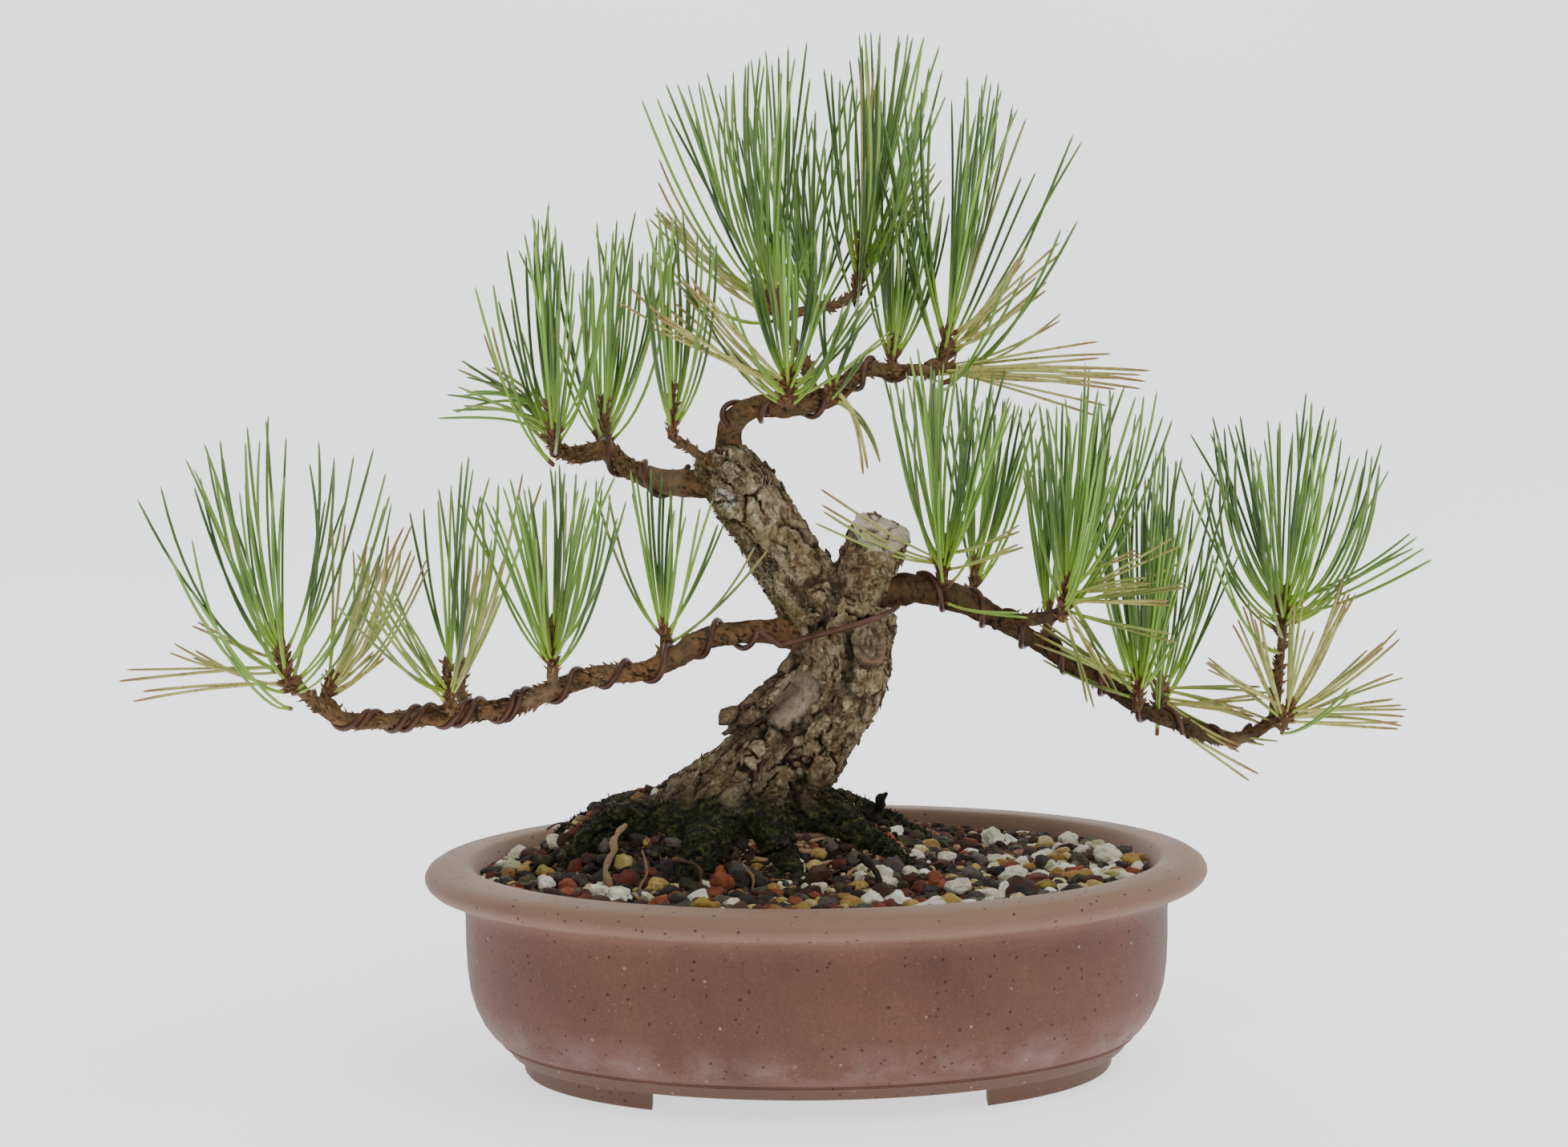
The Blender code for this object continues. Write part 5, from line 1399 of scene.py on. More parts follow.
def grow_mesh(mesh, verts, quads, values, slot):
    """Adds points and faces to a mesh in place, with their values and their material."""
    co, faces = point_array(mesh), [list(p.vertices) for p in mesh.polygons]
    kept = {a.name: point_values(mesh, a.name) for a in mesh.attributes
            if a.data_type == "FLOAT" and a.domain == "POINT"}
    slots = [p.material_index for p in mesh.polygons] + [slot] * len(quads)
    mesh.clear_geometry()
    mesh.from_pydata([*co.tolist(), *verts.tolist()], [],
                     [*faces, *(np.asarray(quads) + len(co)).tolist()])
    for title in {*kept, *values}:
        old = kept.get(title, np.zeros(len(co)))
        new = np.broadcast_to(values.get(title, 1.0), len(verts))
        put_values(mesh, title, np.concatenate([old, new]))
    mesh.polygons.foreach_set("material_index", np.array(slots, np.int32))
    mesh.shade_smooth()


def point_values(mesh, title):
    out = np.empty(len(mesh.vertices), np.float32)
    mesh.attributes[title].data.foreach_get("value", out)
    return out


class BONSAI_OT_branches(bpy.types.Operator):
    """Grow the branches and twigs with their scaly young bark"""

    bl_idname = "bonsai.branches"
    bl_label = "Branches"

    def execute(self, context):
        bark = context.scene.bonsai_bark
        bright, dull = branch_look("branch_bark", bark, 1.0), branch_look("dark_bark", bark, 0.55)
        for k, name in enumerate(BRANCHES):
            look = dull if name in DARK_BRANCHES else bright
            line = branch_line(name)
            mesh = young_bark(name + "_wood", line, 30, bark.scale, 0.62 * MM, 20 + k)
            count = round(len(line) * (1.3 if name in YOUNG_BRANCHES else 0.7))
            add_spurs(mesh, line, SPUR_STARTS.get(name, 0.1), 0.97, count, 3.2 * MM, 40 + k)
            piece(name + "_wood", mesh, look, (name,))
        return {"FINISHED"}


# ---- training wires ------------------------------------------------------------------------
# Branch, share of its length at which the wire starts and ends, starting angle, and turn.
WIRES = {
    "training_wire_left_low": ("branch_left_low", 0.13, 0.86, 170, 1),
    "training_wire_left_tip": ("branch_left_low", 0.56, 0.90, 20, 1),
    "training_wire_left_middle": ("branch_left_middle", 0.26, 0.80, 90, -1),
    "training_wire_apex": ("branch_apex", 0.16, 0.95, 0, 1),
    "training_wire_right_low": ("branch_right_low", 0.12, 0.78, 120, -1),
    "training_wire_right_tip": ("branch_right_low", 0.80, 0.94, 240, -1),
}
LEAD = [(36, -3, 198), (35, -11, 196.5), (31, -19.5, 195), (24, -24.5, 193), (15, -26, 190.5),
        (4, -25, 187.5), (-6, -22, 184.5), (-14, -19, 182)]


def along(path, part):
    """Position, direction and radius at a share of a path's length."""
    steps = np.linalg.norm(np.diff(path[:, :3], axis=0), axis=1)
    at = np.concatenate([[0], np.cumsum(steps)])
    here = [np.interp(part * at[-1], at, path[:, k]) for k in range(4)]
    k = min(int(np.searchsorted(at, part * at[-1])), len(path) - 2)
    ahead = path[min(k + 6, len(path) - 1), :3] - path[max(k - 6, 0), :3]
    return np.array(here[:3]), ahead / np.linalg.norm(ahead), here[3]


def winding(path, start, end, angle, turn, wire):
    """A wire's line round a branch, from one share of its length to another."""
    run = np.linalg.norm(np.diff(path[:, :3], axis=0), axis=1).sum() * (end - start)
    per_turn = 20
    count = max(20, round(run / wire.pitch * per_turn))
    out = []
    for k in range(count + 1):
        here, ahead, radius = along(path, start + (end - start) * k / count)
        side = np.cross(ahead, (0, 0, 1.0))
        side /= np.linalg.norm(side)
        up = np.cross(side, ahead)
        a = math.radians(angle) + turn * FULL_TURN * k / per_turn
        a += 0.25 * math.sin(k * 0.11)
        reach = radius * (1.0 + 0.04 * math.sin(k * 0.23)) + wire.gauge * 0.42
        out.append(here + reach * (math.cos(a) * side + math.sin(a) * up))
    return out


def wire_look(wire):
    """Anodised aluminium, brown with a dull sheen and rubbed places."""
    look = Look("brown_wire", 0.46, Metallic=0.2, Specular_IOR_Level=0.35)
    cloud = look.noise(9 * MM, 4, 0.6)
    brown = tuple(wire.colour)
    colour = look.ramp(cloud, (0.3, scaled(brown, 0.6)), (0.55, brown),
                       (0.78, scaled(brown, 1.45)))
    scratch = look.noise(0.7 * MM, 4, 0.7)
    return look.finish(colour, look.range(scratch, 0.3, 0.7, 0.34, 0.56), scratch, 0.06 * MM)


class BONSAI_OT_wires(bpy.types.Operator):
    """Wind the training wires round the branches, one of them led across the trunk"""

    bl_idname = "bonsai.wires"
    bl_label = "Training Wires"

    def execute(self, context):
        wire = context.scene.bonsai_wire
        look = wire_look(wire)
        for name, (branch, start, end, angle, turn) in WIRES.items():
            line = winding(branch_line(branch), start, end, angle, turn, wire)
            if name == "training_wire_left_low":
                line = [*smooth_path(millimetres(LEAD), 2 * MM), *line]
            line = smooth_path(line, 1.2 * MM)
            mesh = mesh_of(name + "_wound", *sweep(line, np.full(len(line), wire.gauge / 2), 14))
            mesh.set_sharp_from_angle(angle=math.radians(60))
            piece(name + "_wound", mesh, look, (name,))
        return {"FINISHED"}


# ---- shoots --------------------------------------------------------------------------------
# Node: where the stem leaves its branch, and the bud (mm); lean of the stem (degrees to the
# right, degrees to the back); length that bears needles (mm); whether a winter bud shows; and
# fans of needle pairs: number, lean and spread across, lean and spread in depth, shortest,
# longest (mm), curl and age.
SHOOTS = {
    "shoot_left_end": ((-205, -54, 168), (-214, -57, 181), (-8, -6), 15, True, [
        (36, -3, 31, -8, 30, 84, 101, 0.35, 0.06), (5, -72, 14, 0, 20, 36, 46, 0.1, 0.9),
        (3, -84, 5, -10, 12, 58, 70, 0.0, 0.9)]),
    "shoot_left_end_back": ((-193, -52, 159), (-199, -40, 170), (14, 14), 10, False, [
        (19, 22, 15, 12, 30, 62, 76, 0.25, 0.7), (4, 58, 8, -10, 10, 25, 36, 0.1, 0.8)]),
    "shoot_left_front": ((-147, -43, 159), (-148, -53, 168), (-4, -14), 12, True, [
        (9, -34, 9, -26, 14, 58, 72, 0.2, 0.6), (6, 2, 8, -12, 16, 80, 100, 0.15, 0.2),
        (8, 20, 9, -16, 16, 52, 66, 0.2, 0.6)]),
    "shoot_left_back": ((-143, -42, 160), (-146, -24, 171), (4, 20), 12, False, [
        (13, 3, 13, 20, 18, 76, 92, 0.25, 0.25)]),
    "shoot_left_centre": ((-107, -34, 169), (-107, -40, 181), (2, -8), 15, True, [
        (40, 3, 27, -8, 30, 66, 80, 0.35, 0.12)]),
    "shoot_left_inner": ((-64, -24, 177), (-62, -15, 185), (2, 12), 9, False, [
        (14, 0, 20, 12, 26, 54, 74, 0.3, 0.15), (4, 33, 6, 0, 16, 50, 58, 0.1, 0.2)]),
    "shoot_middle_end": ((-105, 23, 261), (-108, 14, 267), (-2, -6), 12, True, [
        (28, 2, 16, -6, 26, 76, 96, 0.55, 0.06)]),
    "shoot_middle_low": ((-104, 25, 261), (-109, 33, 262), (-40, 20), 8, False, [
        (13, -56, 11, 16, 16, 48, 70, -0.35, 0.4), (5, -18, 14, 20, 20, 58, 70, 0.3, 0.3)]),
    "shoot_middle_top": ((-87, 19, 262), (-88, 31, 268), (3, 12), 12, True, [
        (28, 3, 17, 12, 24, 76, 94, 0.5, 0.08)]),
    "shoot_middle_inner": ((-57, -17, 269), (-57, -20, 276), (0, -5), 11, True, [
        (20, -1, 15, -5, 22, 74, 90, 0.45, 0.12)]),
    "shoot_apex_front": ((-9, -8, 282), (-9, -21, 289), (0, -16), 12, False, [
        (30, 0, 34, -18, 22, 48, 74, 0.3, 0.1), (12, -56, 12, -16, 18, 58, 80, 0.1, 0.85),
        (8, 48, 15, -8, 20, 42, 54, 0.2, 0.4)]),
    "shoot_apex_low": ((9, -6, 284), (9, -16, 287), (12, -24), 6, False, [
        (6, 10, 24, -26, 20, 30, 46, 0.1, 0.1), (4, 152, 9, -12, 10, 30, 40, -0.1, 0.65)]),
    "shoot_apex_left_back": ((-10, 19, 315), (-14, 22, 323), (-8, 3), 14, False, [
        (40, -8, 22, 4, 26, 88, 110, 0.3, 0.08), (11, -50, 11, 5, 20, 56, 80, 0.2, 0.85)]),
    "shoot_apex_crown": ((20, 31, 325), (22, 34, 334), (6, 3), 16, True, [
        (48, 8, 20, 4, 24, 86, 102, 0.35, 0.06), (6, 40, 12, -6, 20, 50, 66, 0.2, 0.5)]),
    "shoot_apex_back": ((0, 24, 319), (2, 33, 323), (-4, 30), 12, False, [
        (26, -2, 20, 30, 18, 70, 86, 0.3, 0.1)]),
    "shoot_apex_middle": ((34, 2, 295), (35, 11, 300), (6, 18), 12, False, [
        (24, 6, 18, 18, 20, 68, 84, 0.3, 0.12)]),
    "shoot_apex_right": ((49, 6, 295), (57, 10, 304), (12, -1), 17, False, [
        (38, 8, 22, -2, 26, 86, 114, 0.25, 0.12), (10, 52, 16, 0, 20, 46, 66, 0.15, 0.7)]),
    "shoot_apex_right_low": ((47, 5, 294), (53, -2, 294), (70, -16), 8, False, [
        (12, 90, 14, -10, 22, 62, 86, 0.0, 0.95)]),
    "shoot_right_front": ((53, 5, 203), (55, -2, 214), (2, -14), 15, False, [
        (42, -1, 20, -14, 24, 76, 92, 0.35, 0.1), (3, -62, 4, -10, 8, 54, 64, 0.1, 0.9),
        (6, 70, 20, -20, 14, 30, 44, 0.1, 0.5)]),
    "shoot_right_back": ((64, 9, 198), (69, 21, 205), (8, 20), 12, False, [
        (26, 8, 15, 20, 20, 68, 84, 0.3, 0.25)]),
    "shoot_right_middle": ((104, -3, 192), (105, -6, 198), (6, -10), 15, False, [
        (42, 8, 20, -10, 24, 76, 97, 0.3, 0.12), (14, 78, 26, -14, 16, 34, 56, 0.0, 0.65),
        (5, 155, 10, -16, 12, 36, 52, 0.0, 0.6)]),
    "shoot_right_under": ((98, 19, 176), (101, 33, 184), (8, 26), 12, False, [
        (26, 6, 18, 26, 20, 64, 82, 0.3, 0.25)]),
    "shoot_right_dense": ((137, 29, 150), (139, 20, 157), (4, -8), 16, False, [
        (44, 4, 19, -6, 26, 80, 103, 0.3, 0.15), (11, -58, 12, -12, 16, 42, 60, 0.0, 0.55)]),
    "shoot_right_dense_back": ((149, 32, 143), (150, 43, 149), (6, 18), 14, False, [
        (28, 6, 18, 20, 20, 72, 90, 0.3, 0.3), (14, 104, 18, -8, 20, 36, 56, 0.0, 0.8)]),
    "shoot_right_upright": ((199, 40, 140), (203, 40, 185), (2, 0), 17, False, [
        (58, 0, 40, 0, 34, 74, 92, 0.4, 0.05), (6, 62, 8, 0, 16, 60, 66, 0.1, 0.1)]),
    "shoot_right_end": ((197, 40, 137), (203, 31, 142), (16, -12), 9, False, [
        (26, 22, 50, -10, 28, 48, 64, 0.1, 0.75), (8, 84, 10, -16, 14, 46, 60, 0.0, 0.9),
        (4, -60, 14, -16, 12, 34, 48, 0.0, 0.7)]),
}
# How far the needles may rise above the CAD's top, and the turn from one pair to the next.
HEADROOM, GOLDEN_TURN = 9 * MM, 2.39996


def leaning(across, depth):
    """Unit directions that lean from upright by angles to the right and to the back."""
    across, depth = np.asarray(across, float), np.asarray(depth, float)
    return np.stack([np.sin(across) * np.cos(depth), np.sin(depth),
                     np.cos(across) * np.cos(depth)], axis=-1)


def needle_lines(rng, bud, axis, bearing, fan, needles):
    """The centre lines, ages and tones of one fan's needles, two from each sheath."""
    pairs, lean, spread, back, depth, low, high, curl, age = fan
    pairs = max(1, round(pairs * needles.density))
    turn = rng.uniform(0, FULL_TURN) + np.arange(pairs) * GOLDEN_TURN + rng.normal(0, 0.3, pairs)
    out = np.sqrt((np.arange(pairs) + rng.uniform(0.2, 0.9, pairs)) / pairs)
    out = out * np.where(rng.random(pairs) < 0.20, rng.uniform(1.15, 1.8, pairs), 1.0)
    across = np.radians(lean + spread * out * np.cos(turn) + rng.normal(0, 4.5, pairs))
    inward = np.radians(back + depth * out * np.sin(turn) + rng.normal(0, 4.5, pairs))
    size = rng.uniform(low, high, pairs) * MM
    base = bud + axis * ((0.6 - out * rng.uniform(0.6, 1.2, pairs))[:, None] * bearing)
    steps = np.append(np.linspace(0, 0.98, 13) ** 1.3, 1.0)
    curl *= 1.5
    bend = 1 - curl + 3.0 * curl * np.exp(-steps / 0.35)
    lines, ages, tones = [], [], []
    flop = rng.normal(0, 0.085, (pairs, 2, 1))
    years = np.clip(rng.normal(age, 0.16, pairs), 0, 1)
    shade = rng.random(pairs)
    for twin in (-1, 1):
        part = rng.uniform(0.012, 0.085, pairs)[:, None] * twin
        own_bend = 1 + (bend - 1)[None] * rng.uniform(0.5, 1.4, pairs)[:, None]
        grow = 0.3 + 0.7 * steps[None]
        a = across[:, None] * own_bend + part * grow + flop[:, 0] * (steps[None] * 2 - 1)
        d = inward[:, None] * own_bend + part * 0.6 * grow + flop[:, 1] * (steps[None] * 2 - 1)
        way = leaning(np.clip(a, -1.9, 1.9 + 1.2 * (lean > 100)), np.clip(d, -1.3, 1.3))
        reach = size * rng.uniform(0.93, 1.03, pairs)
        run = way[:, 1:] * (np.diff(steps)[None] * reach[:, None])[:, :, None]
        start = (base + way[:, 0] * 1.8 * MM)[:, None]
        lines.append(np.concatenate([start, start + np.cumsum(run, axis=1)], axis=1))
        ages.append(years)
        tones.append(np.clip(shade + rng.normal(0, 0.10, pairs), 0, 1))
    return np.concatenate(lines), np.concatenate(ages), np.concatenate(tones)


def shoot_stem(start, bud, axis, bearing, winter_bud):
    """The stem's line and radii, from its branch to the tip that the needles stand round."""
    low, high = bud - axis * bearing * 0.55, bud + axis * bearing * 0.45
    middle = (start * 0.45 + low * 0.55) + axis * 1.5 * MM
    points = [(*start, 2.3 * MM), (*middle, 2.2 * MM), (*low, 2.1 * MM), (*bud, 2.0 * MM),
              (*high, 1.6 * MM)]
    if winter_bud:
        points += [(*(high + axis * 4 * MM), 2.0 * MM), (*(high + axis * 9 * MM), 1.4 * MM),
                   (*(high + axis * 12 * MM), 0.3 * MM)]
    else:
        points += [(*(high + axis * 3 * MM), 1.0 * MM), (*(high + axis * 5 * MM), 0.25 * MM)]
    path = smooth_path(points, 0.7 * MM)
    path[:, 3] = np.maximum(path[:, 3], 0.15 * MM)
    return path


def make_shoot(node, spec, needles, looks, seed):
    """One shoot: its scaly stem with spurs, and its fans of needle pairs."""
    start, bud, lean, bearing, winter_bud, fans = spec
    rng = np.random.default_rng(seed)
    start, bud = np.array(start) * MM, np.array(bud) * MM
    axis = leaning(*np.radians(lean))
    bearing *= MM
    path = shoot_stem(start, bud, axis, bearing, winter_bud)
    mesh = young_bark(node + "_tuft", path, 16, 1.8 * MM, 0.45 * MM, seed)
    add_spurs(mesh, path, 0.15, 0.92, round(len(path) * 0.9), 3.4 * MM, seed + 300)
    made = [needle_lines(rng, bud, axis, bearing, fan, needles) for fan in fans]
    lines, ages, tones = (np.concatenate([m[k] for m in made]) for k in range(3))
    over = np.clip(lines[:, -1, 2] - CAD_BOX[1][2] - HEADROOM, 0, None)
    rise = np.linspace(0, 1, lines.shape[1])
    lines = lines - over[:, None, None] * rise[None, :, None] * (0, 0, 1)
    at = np.linalg.norm(np.diff(lines, axis=1), axis=2).cumsum(axis=1)
    at = np.insert(at / at[:, -1:], 0, 0, axis=1)
    taper = np.interp(at, (0, 0.05, 0.08, 0.3, 0.85, 0.97, 1), (1.4, 1.3, 0.85, 1, 0.95, 0.75, 0.1))
    taper *= needles.radius * rng.uniform(0.85, 1.1, len(lines))[:, None]
    verts, quads = blades(lines, taper, THIN_SIDES)
    each = at.shape[1] * THIN_SIDES
    values = {"along": np.repeat(at.ravel(), THIN_SIDES), "age": np.repeat(ages, each),
              "tone": np.repeat(tones, each)}
    grow_mesh(mesh, verts, quads, values, 1)
    piece(node + "_tuft", mesh, looks, (node,))


def needle_look(needles):
    """Pine needles: a brown sheath, a fresh base, green blades, and yellow and brown with age."""
    look = Look("pine_needle", 0.42, Specular_IOR_Level=0.28)
    at, age, tone = look.value("along"), look.value("age"), look.value("tone")
    green = tuple(needles.green)
    # The tone spreads the pairs at random from shaded needles to lit ones: painted shade and
    # painted light.
    blade = look.ramp(tone, (0.0, tuple(needles.deep)), (0.30, scaled(green, 0.6)), (0.62, green),
                      (1.0, scaled(green, 1.65)))
    fresh = look.range(at, 0.08, 0.34, 1.0, 0.0)
    colour = look.coat(blade, tuple(needles.fresh), fresh, 0.75)
    colour = look.blend(look.range(at, 0.86, 1.0, 0.0, 0.45), colour, (0.26, 0.36, 0.13))
    yellow = look.range(look.plus(age, look.range(look.noise(16 * MM, 2), 0.3, 0.7, -0.12, 0.12)),
                        0.34, 0.80)
    colour = look.coat(colour, tuple(needles.old), yellow, 0.82)
    spots = look.range(look.noise(2.6 * MM, 2, 0.6), 0.56, 0.66)
    brown = look.times(look.range(age, 0.35, 0.7), spots)
    colour = look.coat(colour, tuple(needles.dry), brown, 0.65)
    tip = look.times(look.range(at, 0.74, 0.92), look.range(age, 0.4, 0.75))
    colour = look.coat(colour, tuple(needles.dry), tip, 0.85)
    colour = look.blend(look.range(at, 0.062, 0.045), colour, (0.145, 0.060, 0.028))
    return look.finish(colour, look.range(tone, 0, 1, 0.30, 0.46))


class BONSAI_OT_shoots(bpy.types.Operator):
    """Grow the shoots: a scaly stem and its tufts of paired needles, young and old"""

    bl_idname = "bonsai.shoots"
    bl_label = "Shoots"

    def execute(self, context):
        needles, bark = context.scene.bonsai_needles, context.scene.bonsai_bark
        looks = [branch_look("shoot_bark", bark, 1.05), needle_look(needles)]
        for k, (node, spec) in enumerate(SHOOTS.items()):
            make_shoot(node, spec, needles, looks, 100 + k)
        return {"FINISHED"}


# ---- moss and fine roots -------------------------------------------------------------------
MOSS_NODES = ("moss_front", "moss_left", "moss_right", "moss_back")


def moss_look():
    look = Look("moss", 0.95, Specular_IOR_Level=0.15)
    tone = look.plus(look.value("tone"), look.range(look.noise(14 * MM, 3), 0.3, 0.7, -0.3, 0.3))
    colour = look.ramp(tone, (0.15, (0.006, 0.007, 0.004)), (0.55, (0.014, 0.016, 0.007)),
                       (0.84, (0.022, 0.021, 0.010)), (1.0, (0.075, 0.062, 0.026)))
    return look.finish(colour)


def root_look():
    look = Look("root_bark", 0.9, Specular_IOR_Level=0.2)
    grain = look.noise(1.2 * MM, 4, 0.7)
    colour = look.ramp(look.value("tone"), (0.0, (0.010, 0.009, 0.006)),
                       (0.55, (0.030, 0.019, 0.012)), (0.80, (0.085, 0.050, 0.030)),
                       (1.0, (0.32, 0.205, 0.11)))
    colour = look.blend(0.7, colour, look.ramp(grain, (0.3, 0.3), (0.7, 0.68)), "OVERLAY")
    return look.finish(colour, None, grain, 0.5 * MM)


def make_moss():
    """Short blades of moss in patches over the mound and the feet of the trunk."""
    rng = np.random.default_rng(12)
    trunk = bpy.data.objects["trunk_wood"].data
    co, normal = point_array(trunk), normal_array(trunk)
    low = (co[:, 2] < 132 * MM) & (co[:, 2] > 84 * MM) & (normal[:, 2] > -0.5)
    wet = layered(co, 9 * MM, 2, 6) > (co[:, 2] - 114 * MM) / (16 * MM)
    own = np.flatnonzero(low & wet)
    own = rng.choice(own, min(2800, len(own)), replace=False)
    x, y = rng.uniform(-118, 62, 22000) * MM, rng.uniform(-50, 82, 22000) * MM
    flat = np.stack([x, y, np.zeros_like(x)], axis=1)
    here = (mound_share(x, y) > 0.5) & (layered(flat, 8 * MM, 2, 6) > 0.05)
    x, y = x[here][:2400], y[here][:2400]
    places = np.concatenate([co[own], np.stack([x, y, ground(x, y)], axis=1)])
    ways = np.concatenate([normal[own], np.tile((0, 0, 1.0), (len(x), 1))]) + (0, 0, 0.2)
    sprout("moss_blades", places, ways, (0.7, 2.2), (0.2, 0.42), rng.random(len(places)),
           moss_look(), rng, MOSS_NODES)


# Loose roots: tone, then points with radius in millimetres.
STRAY_ROOTS = [
    (0.93, [(-79, -24, 108, 1.2), (-83, -33, 105, 1.6), (-84, -39, 99, 1.9),
            (-87, -43, 93, 1.7), (-85, -47, 87, 1.8), (-88, -50, 80, 1.2)]),
    (0.75, [(-60, -40, 96, 1.0), (-54, -46, 96.5, 1.1), (-48, -50, 94, 1.0),
            (-47, -53, 84, 0.8)]),
    (0.8, [(-100, -2, 103, 0.7), (-107, -4, 106, 0.6), (-113, -5, 104, 0.5)]),
    (0.9, [(-72, -38, 99, 0.7), (-70, -44, 93, 0.8), (-73, -49, 86, 0.7), (-71, -52, 79, 0.5)]),
    (0.9, [(-31, -44, 95, 0.7), (-26, -49, 90, 0.8), (-27, -54, 82, 0.6)]),
    (0.35, [(18, -40, 97, 1.6), (22, -46, 95, 2.2), (25, -50, 90, 2.2), (25, -52, 83, 1.6)]),
    (0.12, [(24, 0, 104, 3.4), (26.5, -2, 110, 2.6), (27, -4, 114, 2.8), (30, -5, 117.5, 1.4)]),
]


def make_roots():
    """Thin roots that run down the mound from the foot of the trunk."""
    rng = np.random.default_rng(21)
    parts, tones = [], []
    for k in range(320):
        turn = rng.uniform(0, FULL_TURN) if k % 2 else rng.uniform(1.05, 1.95) * math.pi
        start = rng.uniform(0.15, 0.75)
        reach = min(start + rng.uniform(0.15, 0.75), 1.1)
        thick = rng.choice([0.35, 0.6, 0.9, 1.4], p=[0.35, 0.3, 0.2, 0.15]) * MM
        steps = np.linspace(start, reach, 12)
        sway = turn + np.cumsum(rng.normal(0, 0.13, 12))
        x = MOUND_AT[0] - 14 * MM + steps * 74 * MM * np.cos(sway)
        y = MOUND_AT[1] - 5 * MM + steps * 52 * MM * np.sin(sway)
        z = ground(x, y) + thick * 0.8 + rng.normal(0.4, 0.8, 12) * MM
        z[-1] -= 3 * MM
        line = smooth_path(np.stack([x, y, z], axis=1), 2.2 * MM)
        radii = thick * np.linspace(1.0, 0.45, len(line))
        radii *= 1 + 0.22 * noise(line, 3 * MM, k)
        parts.append(sweep(line, radii, 7))
        pale = rng.random() ** (0.6 if thick < 0.5 * MM else 1.6)
        tones.append(np.full(len(parts[-1][0]), pale))
    for tone, points in STRAY_ROOTS:
        path = smooth_path(millimetres(points), 1.5 * MM)
        bends = [noise(path[:, :3], 5 * MM, seed) for seed in (31, 32, 33)]
        path[:, :3] += 1.2 * MM * np.stack(bends, axis=1)
        radii = 0.78 * path[:, 3] * (1 + 0.45 * noise(path[:, :3], 2.6 * MM, 3))
        parts.append(sweep(path[:, :3], radii, 12))
        tones.append(np.full(len(parts[-1][0]), tone))
    mesh = mesh_of("fine_roots", *joined(parts), {"tone": np.concatenate(tones)})
    piece("fine_roots", mesh, root_look())


class BONSAI_OT_moss(bpy.types.Operator):
    """Cover the mound with moss and fine roots"""

    bl_idname = "bonsai.moss"
    bl_label = "Moss and Roots"

    def execute(self, context):
        make_moss()
        make_roots()
        return {"FINISHED"}


# ---- stage ---------------------------------------------------------------------------------
# The cloth: half its width, where it starts to rise, the radius of that bend and its top (m).
FLOOR_REACH, BEND_AT, BEND, BACK_HEIGHT = 12.0, 1.6, 0.9, 4.5
CAMERA_AT = (-0.0118, -1.4986, 0.3803)
CAMERA_PITCH, CAMERA_ROLL, CAMERA_LENS = math.radians(83.51), -0.0131, 82.66


def cloth_look(stage):
    look = Look("pale_cloth", 0.95, Specular_IOR_Level=0.1)
    soft = look.noise(0.35, 3, 0.5)
    pale = tuple(stage.floor)
    colour = look.ramp(soft, (0.3, scaled(pale, 0.97)), (0.7, pale))
    # The cloth also glows by its own emission, though it is no lamp: painted light that brightens
    # the backdrop and lights the pot.
    look.feed(look.shader.inputs["Emission Color"], colour)
    look.shader.inputs["Emission Strength"].default_value = stage.glow
    return look.finish(colour)


def area_light(name, place, aim, size, power):
    """A round soft light that looks at a height above the middle of the floor."""
    light = bpy.data.lights.new(name, "AREA")
    light.shape, light.size, light.energy = "DISK", size, power
    made = linked(name, light)
    made.location = place
    aimed = Vector((0, 0, aim)) - Vector(place)
    made.rotation_euler = aimed.to_track_quat("-Z", "Y").to_euler()


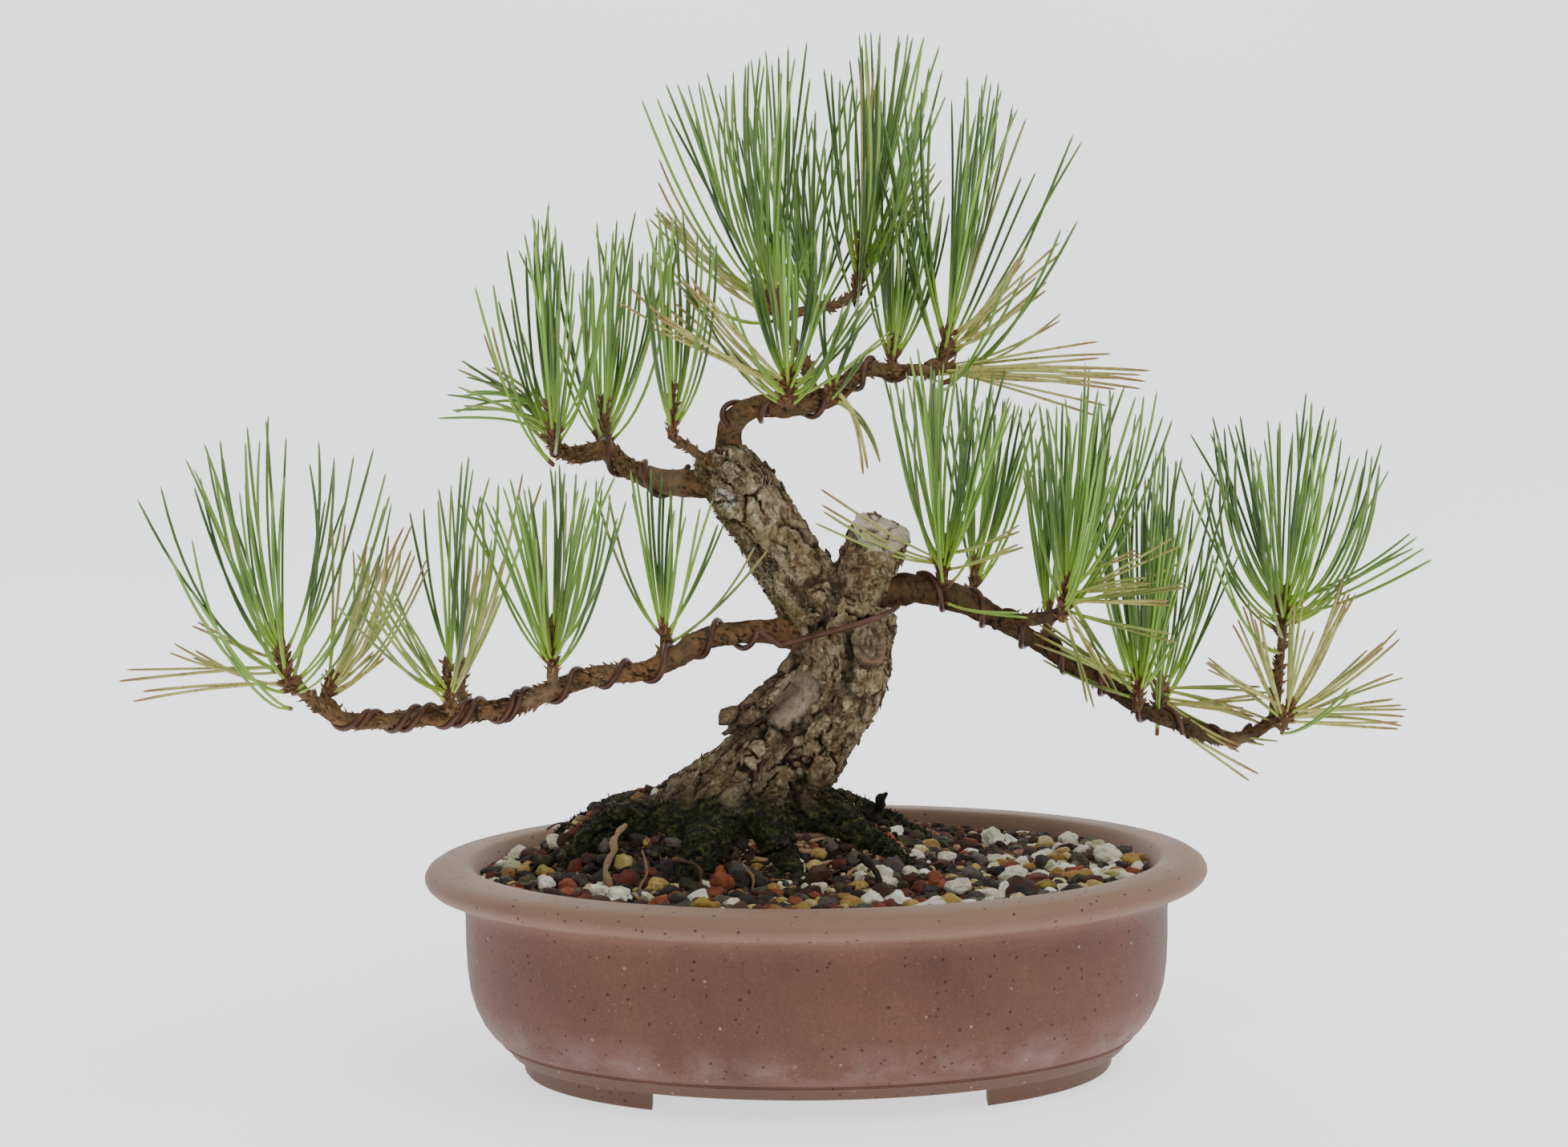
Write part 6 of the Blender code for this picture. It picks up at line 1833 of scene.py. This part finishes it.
class BONSAI_OT_stage(bpy.types.Operator):
    """Lay a pale sweep of cloth, hang the soft lights and set the camera"""

    bl_idname = "bonsai.stage"
    bl_label = "Stage"

    def execute(self, context):
        stage = context.scene.bonsai_stage
        profile = [(-FLOOR_REACH, 0.0), (BEND_AT, 0.0)]
        profile += [(BEND_AT + BEND * math.sin(t), BEND - BEND * math.cos(t))
                    for t in np.linspace(0.1, math.pi / 2, 16)]
        profile += [(BEND_AT + BEND, BACK_HEIGHT)]
        verts = [(x, y, z) for y, z in profile for x in (-FLOOR_REACH, FLOOR_REACH)]
        quads = [(2 * k, 2 * k + 1, 2 * k + 3, 2 * k + 2) for k in range(len(profile) - 1)]
        mesh = mesh_of("floor", verts, quads, [])
        floor = linked("floor", mesh)
        mesh.materials.append(cloth_look(stage))
        area_light("softbox", (0.6, -0.9, 2.3), 0.15, 1.8, stage.softbox)
        area_light("fill", (-1.3, -2.2, 1.1), 0.2, 1.6, stage.fill)
        area_light("side", (2.2, -0.9, 1.0), 0.2, 1.4, stage.fill * 1.3)
        world = bpy.data.worlds.new("studio")
        world.use_nodes = True
        sky = world.node_tree.nodes["Background"].inputs
        sky["Color"].default_value = (0.93, 0.96, 1.0, 1)
        sky["Strength"].default_value = 0.40
        context.scene.world = world
        lens = bpy.data.cameras.new("camera")
        lens.lens, lens.sensor_width, lens.sensor_fit = CAMERA_LENS, 36, "HORIZONTAL"
        camera = linked("camera", lens)
        turn = Matrix.Rotation(CAMERA_PITCH, 4, "X") @ Matrix.Rotation(CAMERA_ROLL, 4, "Z")
        camera.matrix_world = Matrix.Translation(CAMERA_AT) @ turn
        context.scene.camera = camera
        return {"FINISHED"}


# ---- panel and registration ----------------------------------------------------------------
PIECES = (BONSAI_OT_pot, BONSAI_OT_drainage, BONSAI_OT_soil, BONSAI_OT_trunk,
          BONSAI_OT_branches, BONSAI_OT_wires, BONSAI_OT_shoots, BONSAI_OT_moss, BONSAI_OT_stage)
SETTINGS = {"bonsai_pot": PotSettings, "bonsai_soil": SoilSettings, "bonsai_bark": BarkSettings,
            "bonsai_needles": NeedleSettings, "bonsai_wire": WireSettings,
            "bonsai_stage": StageSettings}


class BONSAI_PT_panel(bpy.types.Panel):
    """Lists the bonsai's settings and the buttons that build its pieces"""

    bl_idname = "BONSAI_PT_panel"
    bl_label = "Potted Bonsai Pine"
    bl_space_type = "VIEW_3D"
    bl_region_type = "UI"
    bl_category = "Bonsai"

    def draw(self, context):
        for operator in PIECES:
            self.layout.operator(operator.bl_idname)
        for title in SETTINGS:
            group = getattr(context.scene, title)
            box = self.layout.box()
            for name in group.__annotations__:
                box.prop(group, name)


def register():
    for group in SETTINGS.values():
        bpy.utils.register_class(group)
    for title, group in SETTINGS.items():
        setattr(bpy.types.Scene, title, bpy.props.PointerProperty(type=group))
    for operator in PIECES:
        bpy.utils.register_class(operator)
    bpy.utils.register_class(BONSAI_PT_panel)


def unregister():
    bpy.utils.unregister_class(BONSAI_PT_panel)
    for operator in reversed(PIECES):
        bpy.utils.unregister_class(operator)
    for title, group in reversed(SETTINGS.items()):
        delattr(bpy.types.Scene, title)
        bpy.utils.unregister_class(group)


def main():
    register()
    bpy.ops.bonsai.stage()
    bpy.ops.bonsai.pot()
    bpy.ops.bonsai.drainage()
    bpy.ops.bonsai.soil()
    bpy.ops.bonsai.trunk()
    bpy.ops.bonsai.branches()
    bpy.ops.bonsai.wires()
    bpy.ops.bonsai.shoots()
    bpy.ops.bonsai.moss()


if __name__ == "__main__":
    main()
